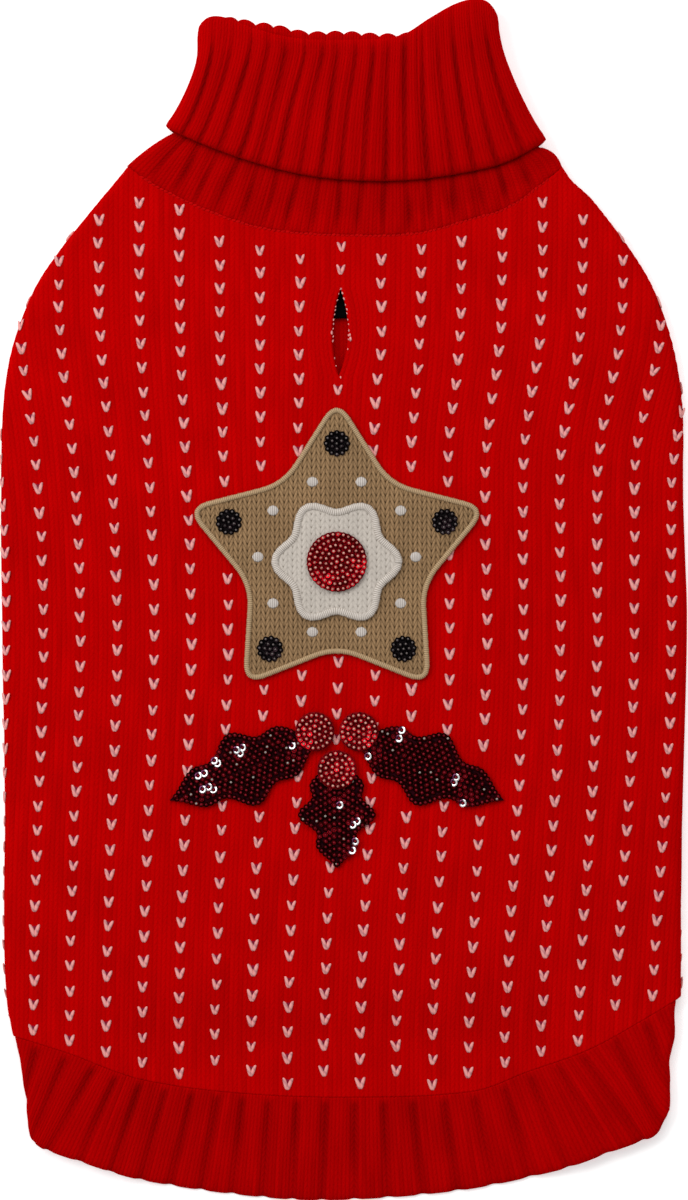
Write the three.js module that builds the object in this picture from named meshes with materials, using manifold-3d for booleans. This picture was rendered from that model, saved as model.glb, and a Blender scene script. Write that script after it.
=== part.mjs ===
// A knitted dog sweater laid flat, back side up. Millimetres, +X to the right, +Y toward the collar, +Z up.
// The origin is under the middle of the laid-out length and width, on the surface it rests on.
import * as THREE from "three";
import { mergeVertices } from "three/addons/utils/BufferGeometryUtils.js";
import Module from "manifold-3d";

const wasm = await Module();
wasm.setup();

// The cloth, and how its layers lie.
const WALL = 2.2;
const LAYER_GAP = 1.8;
const SEAM_GAP = 0.4;
const TOP_INSIDE = WALL + LAYER_GAP;
const FOLD_INSIDE = LAYER_GAP / 2;
const FOLD_RADIUS = FOLD_INSIDE + WALL;
const RIB_DEPTH = 1.0;

// How far the back panel and the hem rib wrap under each side.
const FLAP_WIDTH = 36;
// Past the belly's lower edge the back sinks to the surface over this length.
const DRAPE_LENGTH = 34;
const DRAPE_INSET = 32;

// Body sides, by height up the garment.
const BODY_SIDES = [
  { y: -186, left: -138, right: 140.6 },
  { y: -168, left: -141.4, right: 141.3 },
  { y: -134, left: -142.5, right: 141.3 },
  { y: -84, left: -142.2, right: 142 },
  { y: -8, left: -143.4, right: 143.8 },
  { y: 42, left: -143.8, right: 142.2 },
  { y: 80, left: -143, right: 142 },
  { y: 105, left: -139.3, right: 138.4 },
  { y: 130, left: -130, right: 130 },
  { y: 147, left: -118.9, right: 120 },
  { y: 168, left: -102, right: 104 },
  { y: 172, left: -98.6, right: 99.8 },
  { y: 176, left: -95.3, right: 95.4 },
  { y: 180, left: -92, right: 92.6 },
  { y: 184, left: -89, right: 90.6 },
];

const NECK_SEAM = [
  { x: -94, y: 184.2 },
  { x: -80, y: 174 },
  { x: -56, y: 162.5 },
  { x: -31, y: 155 },
  { x: 7, y: 152.5 },
  { x: 32, y: 153.7 },
  { x: 51, y: 158.8 },
  { x: 70, y: 165 },
  { x: 94, y: 183 },
];

const HEM_SEAM = [
  { x: -142, y: -181.5 },
  { x: -115, y: -190 },
  { x: -85, y: -201 },
  { x: -48, y: -206.6 },
  { x: 0, y: -208.7 },
  { x: 54, y: -206.2 },
  { x: 77, y: -198 },
  { x: 104, y: -187.6 },
  { x: 129, y: -173.6 },
  { x: 143, y: -165 },
];

const HEM_SIDES = [
  { y: -229.5, left: -129.4, right: 135.4 },
  { y: -226.5, left: -131.1, right: 135.4 },
  { y: -223, left: -132.1, right: 135.4 },
  { y: -218, left: -132.7, right: 136.4 },
  { y: -210, left: -133.6, right: 136.8 },
  { y: -202, left: -134.6, right: 137 },
  { y: -193, left: -135.8, right: 136.5 },
  { y: -183, left: -138, right: 138.7 },
  { y: -168, left: -139.4, right: 139.2 },
];

const HEM_RIM = [
  { x: -134, y: -225.6 },
  { x: -130.6, y: -227.8 },
  { x: -125, y: -230.4 },
  { x: -112, y: -234.9 },
  { x: -83.6, y: -243.6 },
  { x: -41, y: -250 },
  { x: -6, y: -252 },
  { x: 49, y: -247.8 },
  { x: 89, y: -239.4 },
  { x: 112, y: -231.2 },
  { x: 124, y: -226.9 },
  { x: 131, y: -223.6 },
  { x: 137.5, y: -213.5 },
];

// The hem's grooves lean and fan out: each groove's number and its place near the rim and near the seam.
const HEM_GROOVES = [
  { groove: -10, nearRim: -120.2, nearSeam: -107.8 },
  { groove: -8, nearRim: -95, nearSeam: -87.4 },
  { groove: -6, nearRim: -70.9, nearSeam: -65.2 },
  { groove: -3, nearRim: -33.4, nearSeam: -31.8 },
  { groove: -1, nearRim: -9, nearSeam: -8 },
  { groove: 0, nearRim: 4.3, nearSeam: 4.5 },
  { groove: 2, nearRim: 32, nearSeam: 29.6 },
  { groove: 4, nearRim: 61, nearSeam: 56.2 },
  { groove: 6, nearRim: 90.8, nearSeam: 81 },
  { groove: 8, nearRim: 120.2, nearSeam: 104.4 },
];
// Shares of the hem's height at which those places are, and how many more ribs run off round each side.
const HEM_RIB = { nearRim: 0.2, nearSeam: 0.8, wrapped: 6, grooveHalf: 0.1, crestFrom: 0.2, crestTo: 0.8 };
const HEM_ROWS = [
  { share: 0, held: 0.6 },
  { share: 0.2, held: 0.75 },
  { share: 0.4, held: 0.9 },
  { share: 0.6, held: 1 },
  { share: 0.88, held: 1 },
  { share: 1, held: 0 },
];

const BACK_COLUMNS = 26;
const BACK_ROWS = 15;
const FOLD_ANGLES = [0, 36, 72, 108, 144, 180];

// Collar: one ring folded over. Each line runs from the left end to the right end of the flattened ring.
const COLLAR_RIBS = 18;
const COLLAR_RIB = { crestFrom: 0.1, crestTo: 0.8, grooveFrom: 0.88, grooveTo: 1.02 };
const COLLAR_THICK = 6.7;
// Lean is how far the ribs are pushed sideways along a line at its middle.
const STAND_ENDS = { left: -91, right: 91.6, lean: -0.02 };
const RIM_ENDS = { left: -75, right: 85, lean: -0.035 };
const FOLD_ENDS = { left: -61.4, right: 64.9, lean: 0.029 };
// The turned-down sides draw in this far between the rim and the fold.
const COLLAR_BOW = { left: 4.6, right: 4.2 };
// The stand's ends swell out this far between the neck seam and the line where it goes in under the rim.
const COLLAR_LOBE = { left: 0.5, right: 1.4 };
const TUCKED_LINE = 0.94;
const COLLAR_RIM = [
  { x: -76, y: 198.4 },
  { x: -68, y: 194 },
  { x: -44, y: 184.6 },
  { x: -18.5, y: 177.7 },
  { x: 7, y: 174.9 },
  { x: 32, y: 175.6 },
  { x: 57, y: 179.6 },
  { x: 70, y: 183.6 },
  { x: 86, y: 192.6 },
];
const FOLD_FRONT = [
  { x: -61.4, y: 241.8 },
  { x: -56, y: 243.9 },
  { x: -50, y: 243.4 },
  { x: -38, y: 239 },
  { x: -22, y: 235 },
  { x: 4, y: 234 },
  { x: 24, y: 236 },
  { x: 36, y: 243.2 },
  { x: 54, y: 251.8 },
  { x: 60, y: 250.9 },
  { x: 65, y: 245.6 },
];
const FOLD_BACK = [
  { x: -61.4, y: 241.8 },
  { x: -50, y: 244.2 },
  { x: -37, y: 241.8 },
  { x: -16, y: 238 },
  { x: 16, y: 237 },
  { x: 28, y: 238.2 },
  { x: 42, y: 246.4 },
  { x: 54, y: 251.9 },
  { x: 60, y: 250.9 },
  { x: 65, y: 245.6 },
];
// The wall's closed profile. Line 0 is the neck seam, 1 the turned-down rim and 2 the fold; up is added along
// the collar. Middle is the height of the flattened ring's middle, half its half-height, rib 1 where it is ribbed.
const COLLAR_PROFILE = [
  { line: 0, up: 0, middle: 3.1, half: 3.1, rib: 0.1 },
  { line: 0.4, up: 0, middle: 4.3, half: 3.3, rib: 0.9 },
  { line: TUCKED_LINE, up: 0, middle: 6.7, half: 3.0, rib: 0.6 },
  { line: 1.5, up: 0, middle: 6.7, half: 2.8, rib: 0 },
  { line: 2, up: -4.6, middle: 6.7, half: 2.8, rib: 0 },
  { line: 2, up: -3.4, middle: 6.7, half: 3.1, rib: 0 },
  { line: 2, up: -4.6, middle: 6.7, half: 3.4, rib: 0 },
  { line: 1.5, up: 0, middle: 6.7, half: 3.4, rib: 0 },
  { line: 1, up: 0.8, middle: 6.7, half: 3.5, rib: 0 },
  { line: 1, up: 0, middle: 6.7, half: 4.6, rib: 0.3 },
  { line: 1, up: 0.9, middle: 6.7, half: 6.3, rib: 1 },
  { line: 1.1, up: 0, middle: 6.7, half: 6.7, rib: 1 },
  { line: 1.55, up: 0, middle: 6.7, half: 6.7, rib: 1 },
  { line: 2, up: -6.5, middle: 6.7, half: 6.7, rib: 0.9 },
  { line: 2, up: -1.6, middle: 6.7, half: 6.1, rib: 0.35 },
  { line: 2, up: 0, middle: 6.7, half: 3.8, rib: 0.1 },
  { line: 2, up: -1.2, middle: 6.7, half: 1.3, rib: 0 },
  { line: 2, up: -3.6, middle: 6.7, half: 0.4, rib: 0 },
  { line: 1.5, up: 0, middle: 6.7, half: 0.4, rib: 0 },
  { line: TUCKED_LINE, up: 0, middle: 6.7, half: 0.4, rib: 0 },
  { line: 0.4, up: 0, middle: 4.3, half: 0.7, rib: 0 },
  { line: 0, up: 0, middle: 3.1, half: 0.9, rib: 0 },
];
const COLLAR_END_STEPS = [0.5, 1.8, 4.2];
// The inner layers draw in from the ring's ends over this length.
const COLLAR_END_EASE = 16;
const COLLAR_BACK_COLUMNS = 18;

// Leash slit: a lens cut through the back's upper layer.
const SLIT = { x: -1.3, y: 112, length: 36.7, width: 6.4, steps: 8 };

// Leg holes at the belly seams, each with a flat ribbed cuff.
const LEG = { x: 106, y: 88, holeX: 14, holeY: 24, band: 10, ribs: 24, steps: 48 };

const BELLY = { lower: -125, bandLower: -155, neckSteps: 14, ribs: 17 };

const LABEL = { x: -1, width: 24, lower: 118, upper: 151, thick: 0.6 };

// Applique pieces, lying on the back one over another.
const PATCH_GAP = 0.3;
const STAR = { x: -3, y: 18, outer: 66, inner: 38, points: 5, thick: 1.2, round: 7 };
const ROSETTE = { x: -3, y: 16, radius: 24, lobe: 2.6, lobes: 6, thick: 1.0 };
const DISC = { x: -3, y: 16, radius: 12.5, thick: 0.8 };
const LEAF = { thick: 0.8, length: 66, width: 32, lobes: 3, scallop: 2.8 };
const LEAVES = [
  { name: "leaf_left", x: -12, y: -58, turn: 203 },
  { name: "leaf_right", x: 6, y: -58, turn: -23 },
  { name: "leaf_lower", x: -3, y: -68, turn: -90, length: 44 },
];
const BERRY = { radius: 8.2, thick: 0.8 };
const BERRIES = [
  { name: "berry_left", x: -12.2, y: -55 },
  { name: "berry_right", x: 6.2, y: -55 },
  { name: "berry_lower", x: -3, y: -71 },
];

// A smooth curve through a table's rows: the named column at a value of the column it is read by.
function along(table, by, value, column) {
  const last = table.length - 1;
  let i = 0;
  while (i < last - 1 && value > table[i + 1][by]) i += 1;
  const slope = (a, b) => (table[b][column] - table[a][column]) / (table[b][by] - table[a][by]);
  const span = table[i + 1][by] - table[i][by];
  const t = THREE.MathUtils.clamp((value - table[i][by]) / span, 0, 1);
  const start = slope(Math.max(i - 1, 0), i + 1) * span;
  const end = slope(i, Math.min(i + 2, last)) * span;
  const from = table[i][column];
  const to = table[i + 1][column];
  const cubic = 2 * from - 2 * to + start + end;
  const square = 3 * to - 3 * from - 2 * start - end;
  return ((cubic * t + square) * t + start) * t + from;
}

const mix = THREE.MathUtils.lerp;
const ease = THREE.MathUtils.smoothstep;

// Height of the upper layer's inside at a place: it lies on the layer below, or sinks to the surface past it.
function topInside(x, y) {
  const reach = Math.min(x - along(BODY_SIDES, "y", y, "left"), along(BODY_SIDES, "y", y, "right") - x);
  const sideways = 1 - ease(reach, FLAP_WIDTH, FLAP_WIDTH + DRAPE_INSET);
  const lengthways = ease(y, BELLY.bandLower - DRAPE_LENGTH, BELLY.bandLower - 1);
  return TOP_INSIDE * (1 - (1 - sideways) * (1 - lengthways));
}

// One point of cloth laid round a flattened tube: reach is measured along the cloth from the tube's middle,
// and thick is how far the point stands off the inside face.
function roundTube(sides, lower, upper, share, reachOf, thick) {
  let y = mix(lower(0), upper(0), share);
  let point = null;
  for (let pass = 0; pass < 40; pass += 1) {
    const left = along(sides, "y", y, "left");
    const right = along(sides, "y", y, "right");
    const middle = (left + right) / 2;
    const flat = (right - left) / 2 - FOLD_RADIUS;
    const reach = reachOf(flat, y);
    const side = Math.sign(reach) || 1;
    const past = Math.abs(reach) - flat;
    const turn = past / FOLD_RADIUS;
    const across =
      turn <= 0
        ? Math.abs(reach)
        : turn < Math.PI
          ? flat + (FOLD_INSIDE + thick) * Math.sin(turn)
          : flat - (past - Math.PI * FOLD_RADIUS);
    const x = middle + side * across;
    y = mix(y, mix(lower(x), upper(x), share), 0.7);
    const z =
      turn <= 0
        ? topInside(x, y) + thick
        : turn < Math.PI
          ? FOLD_RADIUS + (FOLD_INSIDE + thick) * Math.cos(turn)
          : WALL - thick;
    point = [x, y, z];
  }
  return point;
}

// How far round the tube the cloth reaches, from its middle to the free edge under one side.
const reachEnd = (flat) => flat + (Math.PI - 1) * FOLD_RADIUS + FLAP_WIDTH;

// A geometry from points and faces, turned round where needed so that its faces look out.
function closedGeometry(points, faces) {
  const at = (i) => new THREE.Vector3(...points[i]);
  const volume = faces.reduce((sum, [a, b, c]) => sum + at(a).dot(at(b).cross(at(c))), 0);
  const index = volume < 0 ? faces.map(([a, b, c]) => [a, c, b]) : faces;
  const geometry = new THREE.BufferGeometry();
  geometry.setAttribute("position", new THREE.Float32BufferAttribute(points.flat(), 3));
  geometry.setIndex(index.flat());
  return geometry;
}

const quad = (a, b, c, d) => [
  [a, b, c],
  [a, c, d],
];

// A wall between two matching sheets of points, each a list of rows; a ring's columns run on into its first.
function wallBetween(outer, inner, ring = false) {
  const rows = outer.length;
  const columns = outer[0].length;
  const points = [...outer.flat(), ...inner.flat()];
  const out = (r, c) => r * columns + (c % columns);
  const into = (r, c) => rows * columns + out(r, c);
  const spans = ring ? columns : columns - 1;
  const faces = [];
  for (let r = 0; r < rows - 1; r += 1) {
    for (let c = 0; c < spans; c += 1) {
      faces.push(...quad(out(r, c), out(r, c + 1), out(r + 1, c + 1), out(r + 1, c)));
      faces.push(...quad(into(r, c), into(r + 1, c), into(r + 1, c + 1), into(r, c + 1)));
    }
    if (!ring) {
      faces.push(...quad(out(r, 0), out(r + 1, 0), into(r + 1, 0), into(r, 0)));
      faces.push(...quad(out(r, spans), into(r, spans), into(r + 1, spans), out(r + 1, spans)));
    }
  }
  for (let c = 0; c < spans; c += 1) {
    faces.push(...quad(out(0, c), into(0, c), into(0, c + 1), out(0, c + 1)));
    faces.push(...quad(out(rows - 1, c), out(rows - 1, c + 1), into(rows - 1, c + 1), into(rows - 1, c)));
  }
  return closedGeometry(points, faces);
}

// A closed skin whose rows and columns both run on into their first.
function loopSkin(grid) {
  const rows = grid.length;
  const columns = grid[0].length;
  const at = (r, c) => (r % rows) * columns + (c % columns);
  const faces = [];
  for (let r = 0; r < rows; r += 1) {
    for (let c = 0; c < columns; c += 1) {
      faces.push(...quad(at(r, c), at(r, c + 1), at(r + 1, c + 1), at(r + 1, c)));
    }
  }
  return closedGeometry(grid.flat(), faces);
}

// A flat piece between two heights, from its outline.
function plate(outline, lower, upper) {
  const shape = new THREE.Shape(outline.map(([x, y]) => new THREE.Vector2(x, y)));
  const geometry = new THREE.ExtrudeGeometry(shape, { depth: upper - lower, bevelEnabled: false });
  geometry.translate(0, 0, lower);
  geometry.deleteAttribute("normal");
  geometry.deleteAttribute("uv");
  return mergeVertices(geometry, 1e-4);
}

function toSolid(geometry) {
  const merged = mergeVertices(geometry, 1e-4);
  return new wasm.Manifold(
    new wasm.Mesh({
      numProp: 3,
      vertProperties: new Float32Array(merged.attributes.position.array),
      triVerts: new Uint32Array(merged.index.array),
    }),
  );
}

// The piece with other geometries cut from it.
function cutFrom(geometry, cutters) {
  const cut = cutters.reduce((solid, cutter) => solid.subtract(toSolid(cutter)), toSolid(geometry));
  const mesh = cut.getMesh();
  const result = new THREE.BufferGeometry();
  result.setAttribute("position", new THREE.BufferAttribute(new Float32Array(mesh.vertProperties), 3));
  result.setIndex(new THREE.BufferAttribute(new Uint32Array(mesh.triVerts), 1));
  return result;
}

const ovalOutline = (x, y, radiusX, radiusY, steps) =>
  Array.from({ length: steps }, (_, i) => {
    const turn = (2 * Math.PI * i) / steps;
    return [x + radiusX * Math.cos(turn), y + radiusY * Math.sin(turn)];
  });

const neckSeam = (x) => along(NECK_SEAM, "x", x, "y");
const hemSeam = (x) => along(HEM_SEAM, "x", x, "y");
const hemRim = (x) => along(HEM_RIM, "x", x, "y");

// The lens of the leash slit.
function slitOutline() {
  const edge = (side, from) =>
    Array.from({ length: SLIT.steps }, (_, i) => {
      const t = from * (1 - (2 * i) / SLIT.steps);
      return [SLIT.x + side * (SLIT.width / 2) * (1 - t * t), SLIT.y + (t * SLIT.length) / 2];
    });
  return [...edge(1, -1), ...edge(-1, 1)];
}

function backPanel() {
  const flats = Array.from({ length: BACK_COLUMNS + 1 }, (_, i) => (2 * i) / BACK_COLUMNS - 1);
  const folds = FOLD_ANGLES.slice(1).map((angle) => THREE.MathUtils.degToRad(angle) * FOLD_RADIUS);
  const flaps = [0.5, 1].map((share) => mix(Math.PI * FOLD_RADIUS, reachEnd(0), share));
  const beyond = [...folds, ...flaps];
  const stations = [
    ...beyond.toReversed().map((past) => (flat) => -flat - past),
    ...flats.map((share) => (flat) => share * flat),
    ...beyond.map((past) => (flat) => flat + past),
  ];
  const sheet = (thick) =>
    Array.from({ length: BACK_ROWS + 1 }, (_, row) =>
      stations.map((reach) => roundTube(BODY_SIDES, hemSeam, neckSeam, row / BACK_ROWS, reach, thick)),
    );
  const slit = plate(slitOutline(), TOP_INSIDE - 0.6, TOP_INSIDE + WALL + 1);
  const legs = [-1, 1].map((side) =>
    plate(legOutline(side, LEG.band + SEAM_GAP), -1, FOLD_RADIUS),
  );
  return cutFrom(wallBetween(sheet(WALL), sheet(0)), [slit, ...legs]);
}

const legOutline = (side, more) =>
  ovalOutline(side * LEG.x, LEG.y, LEG.holeX + more, LEG.holeY + more, LEG.steps);

// How far round the tube a place among the hem's grooves lies, at a share of the hem's height.
function hemReach(groove, share, flat, y) {
  const { nearRim, nearSeam, wrapped } = HEM_RIB;
  const [first, last] = [HEM_GROOVES[0].groove, HEM_GROOVES.at(-1).groove];
  const held = THREE.MathUtils.clamp(groove, first, last);
  const at = (column) => along(HEM_GROOVES, "groove", held, column);
  const middle = (along(HEM_SIDES, "y", y, "left") + along(HEM_SIDES, "y", y, "right")) / 2;
  const shown = mix(at("nearRim"), at("nearSeam"), (share - nearRim) / (nearSeam - nearRim)) - middle;
  const beyond = (groove - held) / wrapped;
  return mix(shown, Math.sign(beyond) * reachEnd(flat), Math.abs(beyond));
}

function hemRib() {
  const { wrapped, grooveHalf, crestFrom, crestTo } = HEM_RIB;
  const first = HEM_GROOVES[0].groove - wrapped;
  const last = HEM_GROOVES.at(-1).groove + wrapped;
  const thirds = [1 / 3, 2 / 3].map((t) => ({ at: mix(crestFrom, crestTo, t), depth: 0, nearFold: true }));
  const marks = [
    { at: grooveHalf, depth: 1 },
    { at: crestFrom, depth: 0 },
    ...thirds,
    { at: crestTo, depth: 0 },
    { at: 1 - grooveHalf, depth: 1 },
  ];
  const folded = (groove) => groove < HEM_GROOVES[0].groove || groove > HEM_GROOVES.at(-1).groove;
  const columns = Array.from({ length: last - first }, (_, rib) => first + rib)
    .flatMap((rib) => marks.map((mark) => ({ ...mark, groove: rib + mark.at })))
    .filter(({ groove, nearFold }) => !nearFold || folded(groove))
    .slice(1, -1);
  const edged = [{ groove: first, depth: 0 }, ...columns, { groove: last, depth: 0 }];
  const upper = (x) => hemSeam(x) - SEAM_GAP;
  const sheet = (outside) =>
    HEM_ROWS.map(({ share, held }) =>
      edged.map(({ groove, depth }) => {
        const thick = outside ? WALL - RIB_DEPTH * depth * held : 0;
        return roundTube(HEM_SIDES, hemRim, upper, share, (flat, y) => hemReach(groove, share, flat, y), thick);
      }),
    );
  return wallBetween(sheet(true), sheet(false));
}

function collar() {
  const marks = [
    { at: COLLAR_RIB.crestFrom, groove: 0 },
    { at: COLLAR_RIB.crestTo, groove: 0 },
    { at: COLLAR_RIB.grooveFrom, groove: 1 },
    { at: COLLAR_RIB.grooveTo, groove: 1 },
  ];
  const ribbed = Array.from({ length: COLLAR_RIBS }, (_, rib) =>
    marks.map(({ at, groove }) => ({ share: (rib + at) / COLLAR_RIBS, groove, side: 1 })),
  ).flat();
  const width = RIM_ENDS.right - RIM_ENDS.left;
  const ends = COLLAR_END_STEPS.map((step) => step / width);
  const inner = ends.at(-1) + 0.01;
  const top = [
    { share: 0, groove: 0, side: 1 },
    ...ends.map((share) => ({ share, groove: 0, side: 1 })),
    ...ribbed.filter(({ share }) => share > inner && share < 1 - inner),
    ...ends.toReversed().map((share) => ({ share: 1 - share, groove: 0, side: 1 })),
  ];
  const spread = Array.from({ length: COLLAR_BACK_COLUMNS - 1 }, (_, i) => (i + 1) / COLLAR_BACK_COLUMNS);
  const under = [
    { share: 1, groove: 0, side: -1 },
    ...ends.map((share) => ({ share: 1 - share, groove: 0, side: -1 })),
    ...spread.toReversed().map((share) => ({ share, groove: 0, side: -1 })),
    ...ends.toReversed().map((share) => ({ share, groove: 0, side: -1 })),
  ].filter(({ share }, i, all) => i === 0 || Math.abs(share - all[i - 1].share) > 0.001);
  const lines = [
    { ends: STAND_ENDS, edge: FOLD_RADIUS, front: standLow, back: standLow },
    { ends: RIM_ENDS, edge: COLLAR_THICK, front: collarRim, back: collarRim },
    { ends: FOLD_ENDS, edge: COLLAR_THICK, front: foldFront, back: foldBack },
  ];
  const place = (row, { share, groove, side }) => {
    const half = row.half - RIB_DEPTH * row.rib * groove;
    const [fromMiddle, hand] = share < 0.5 ? [-1, "left"] : [1, "right"];
    const spots = lines.map(({ ends: { left, right, lean }, edge, front, back }) => {
      const inset = edge - Math.min(row.half, edge);
      const away = Math.min(share, 1 - share) * (right - left);
      const drawn = inset * Math.max(0, 1 - away / COLLAR_END_EASE);
      const x = mix(left, right, share + lean * 4 * share * (1 - share)) - fromMiddle * drawn;
      return { x, y: (side > 0 ? front : back)(x), away: away + drawn - inset };
    });
    const first = Math.min(Math.floor(row.line), 1);
    const [from, to] = [spots[first], spots[first + 1]];
    const at = (key) => mix(from[key], to[key], row.line - first);
    const bend = at("away") < half ? Math.sqrt(1 - (1 - at("away") / half) ** 2) : 1;
    const bulge = Math.sin(Math.PI * (row.line - first));
    const bow = first * COLLAR_BOW[hand] * bulge * (2 * share - 1) ** 2;
    const lobe = row.line < TUCKED_LINE ? COLLAR_LOBE[hand] * bulge * (2 * share - 1) ** 12 : 0;
    const x = at("x") - fromMiddle * (bow - lobe);
    return [x, at("y") + row.up + lobe, row.middle + side * half * bend];
  };
  return loopSkin(COLLAR_PROFILE.map((row) => [...top, ...under].map((column) => place(row, column))));
}

const standLow = (x) => neckSeam(x) + SEAM_GAP;
const collarRim = (x) => along(COLLAR_RIM, "x", x, "y");
const foldFront = (x) => along(FOLD_FRONT, "x", x, "y");
const foldBack = (x) => along(FOLD_BACK, "x", x, "y");

// The wrapped side's free edge, one place for each row of the back panel.
function flapEdge(side) {
  const reach = (flat) => side * reachEnd(flat);
  return Array.from({ length: BACK_ROWS + 1 }, (_, row) => {
    const [x, y] = roundTube(BODY_SIDES, hemSeam, neckSeam, row / BACK_ROWS, reach, 0);
    return { x, y };
  });
}

// The belly lies between the wrapped sides, a seam in from each.
function bellySide(side, y) {
  const edge = flapEdge(side);
  const next = Math.max(edge.findIndex((place) => place.y >= y), 1);
  const [from, to] = [edge[next - 1], edge[next]];
  return mix(from.x, to.x, (y - from.y) / (to.y - from.y)) - side * SEAM_GAP;
}

function bellyPanel() {
  const edge = (side) => [
    [bellySide(side, BELLY.lower), BELLY.lower],
    ...flapEdge(side)
      .filter(({ y }) => y > BELLY.lower + 1)
      .map(({ x, y }) => [x - side * SEAM_GAP, y]),
  ];
  const left = edge(-1);
  const right = edge(1);
  const spread = (share) => mix(right.at(-1)[0], left.at(-1)[0], share);
  const neck = Array.from({ length: BELLY.neckSteps - 1 }, (_, i) => spread((i + 1) / BELLY.neckSteps));
  const outline = [...right, ...neck.map((x) => [x, neckSeam(x)]), ...left.toReversed()];
  const legs = [-1, 1].map((side) => plate(legOutline(side, LEG.band + SEAM_GAP), -1, WALL + 1));
  return cutFrom(plate(outline, 0, WALL), legs);
}

function bellyRib() {
  const marks = [
    { at: 0.04, crest: 1 },
    { at: 0.6, crest: 1 },
    { at: 0.7, crest: 0 },
    { at: 0.94, crest: 0 },
  ];
  const columns = Array.from({ length: BELLY.ribs }, (_, rib) =>
    marks.map(({ at, crest }) => ({ share: (rib + at) / (BELLY.ribs - 0.4), crest })),
  )
    .flat()
    .filter(({ share }) => share <= 1);
  const sheet = (outside) =>
    [BELLY.bandLower, BELLY.lower - SEAM_GAP].map((y) =>
      columns.map(({ share, crest }) => {
        const x = mix(bellySide(-1, y), bellySide(1, y), share);
        return [x, y, outside ? RIB_DEPTH * (1 - crest) : WALL];
      }),
    );
  return wallBetween(sheet(true), sheet(false));
}

// A flat ribbed ring round a leg hole; its ribs face the surface.
function legCuff(side) {
  const marks = [
    { at: 0, crest: 1 },
    { at: 0.55, crest: 1 },
    { at: 0.68, crest: 0 },
    { at: 0.88, crest: 0 },
  ];
  const columns = Array.from({ length: LEG.ribs }, (_, rib) =>
    marks.map(({ at, crest }) => ({ turn: (2 * Math.PI * (rib + at)) / LEG.ribs, crest })),
  ).flat();
  const sheet = (outside) =>
    [0, LEG.band].map((more) =>
      columns.map(({ turn, crest }) => [
        side * LEG.x + (LEG.holeX + more) * Math.cos(turn),
        LEG.y + (LEG.holeY + more) * Math.sin(turn),
        outside ? RIB_DEPTH * (1 - crest) : WALL,
      ]),
    );
  return wallBetween(sheet(true), sheet(false), true);
}

function neckLabel() {
  const { x, width, lower, upper, thick } = LABEL;
  const outline = [
    [x - width / 2, lower],
    [x + width / 2, lower],
    [x + width / 2, upper],
    [x - width / 2, upper],
  ];
  const top = TOP_INSIDE - PATCH_GAP;
  return plate(outline, top - thick, top);
}

// A rounded star: each tip and each inner corner is an arc.
function starOutline() {
  const { x, y, outer, inner, points, round } = STAR;
  const corners = Array.from({ length: 2 * points }, (_, i) => {
    const turn = Math.PI / 2 + (Math.PI * i) / points;
    const radius = i % 2 ? inner : outer;
    return new THREE.Vector2(x + radius * Math.cos(turn), y + radius * Math.sin(turn));
  });
  return corners.flatMap((corner, i) => {
    const before = corners.at(i - 1).clone().sub(corner).setLength(round * 1.4).add(corner);
    const after = corners[(i + 1) % corners.length].clone().sub(corner).setLength(round * 1.4).add(corner);
    return new THREE.QuadraticBezierCurve(before, corner, after).getPoints(5).map((p) => [p.x, p.y]);
  });
}

function rosetteOutline() {
  const { x, y, radius, lobe, lobes } = ROSETTE;
  return Array.from({ length: 48 }, (_, i) => {
    const turn = (2 * Math.PI * i) / 48;
    const reach = radius + lobe * Math.cos(lobes * turn);
    return [x + reach * Math.cos(turn), y + reach * Math.sin(turn)];
  });
}

// A holly leaf lying from its stalk end along its turn, with scalloped edges.
function leafOutline({ x, y, turn, length = LEAF.length }) {
  const steps = 24;
  const angle = THREE.MathUtils.degToRad(turn);
  const edge = (side) =>
    Array.from({ length: steps }, (_, i) => {
      const t = (side > 0 ? i : steps - i) / steps;
      const swell = Math.sin(Math.PI * t ** 0.85) * (LEAF.width / 2 - LEAF.scallop);
      const scallop = LEAF.scallop * Math.sin(Math.PI * t) * Math.cos(2 * Math.PI * LEAF.lobes * t + Math.PI);
      return [t * length, -side * (swell + scallop + 0.2)];
    });
  return [...edge(1), ...edge(-1)].map(([u, v]) => [
    x + u * Math.cos(angle) - v * Math.sin(angle),
    y + u * Math.sin(angle) + v * Math.cos(angle),
  ]);
}

const PANEL_TOP = TOP_INSIDE + WALL;
const STAR_LOW = PANEL_TOP + PATCH_GAP;
const ROSETTE_LOW = STAR_LOW + STAR.thick + PATCH_GAP;
const DISC_LOW = ROSETTE_LOW + ROSETTE.thick + PATCH_GAP;
const BERRY_LOW = STAR_LOW + LEAF.thick + PATCH_GAP;

const group = new THREE.Group();
function add(name, geometry, color, roughness = 0.9) {
  const material = new THREE.MeshStandardMaterial({ color, roughness });
  const mesh = new THREE.Mesh(geometry, material);
  mesh.name = name;
  group.add(mesh);
}

add("back_panel", backPanel(), 0xb50d14);
add("belly_panel", bellyPanel(), 0xb50d14);
add("hem_rib", hemRib(), 0xa80b12);
add("belly_rib", bellyRib(), 0xa80b12);
add("collar", collar(), 0xa80b12);
add("leg_cuff_left", legCuff(-1), 0xa80b12);
add("leg_cuff_right", legCuff(1), 0xa80b12);
add("neck_label", neckLabel(), 0x161414);
add("star_patch", plate(starOutline(), STAR_LOW, STAR_LOW + STAR.thick), 0xb08a5c);
add("star_centre", plate(rosetteOutline(), ROSETTE_LOW, ROSETTE_LOW + ROSETTE.thick), 0xe9ddc4);
add(
  "centre_disc",
  plate(ovalOutline(DISC.x, DISC.y, DISC.radius, DISC.radius, 32), DISC_LOW, DISC_LOW + DISC.thick),
  0xc4121f,
  0.35,
);
for (const leaf of LEAVES) {
  add(leaf.name, plate(leafOutline(leaf), STAR_LOW, STAR_LOW + LEAF.thick), 0x4a1420, 0.35);
}
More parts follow.
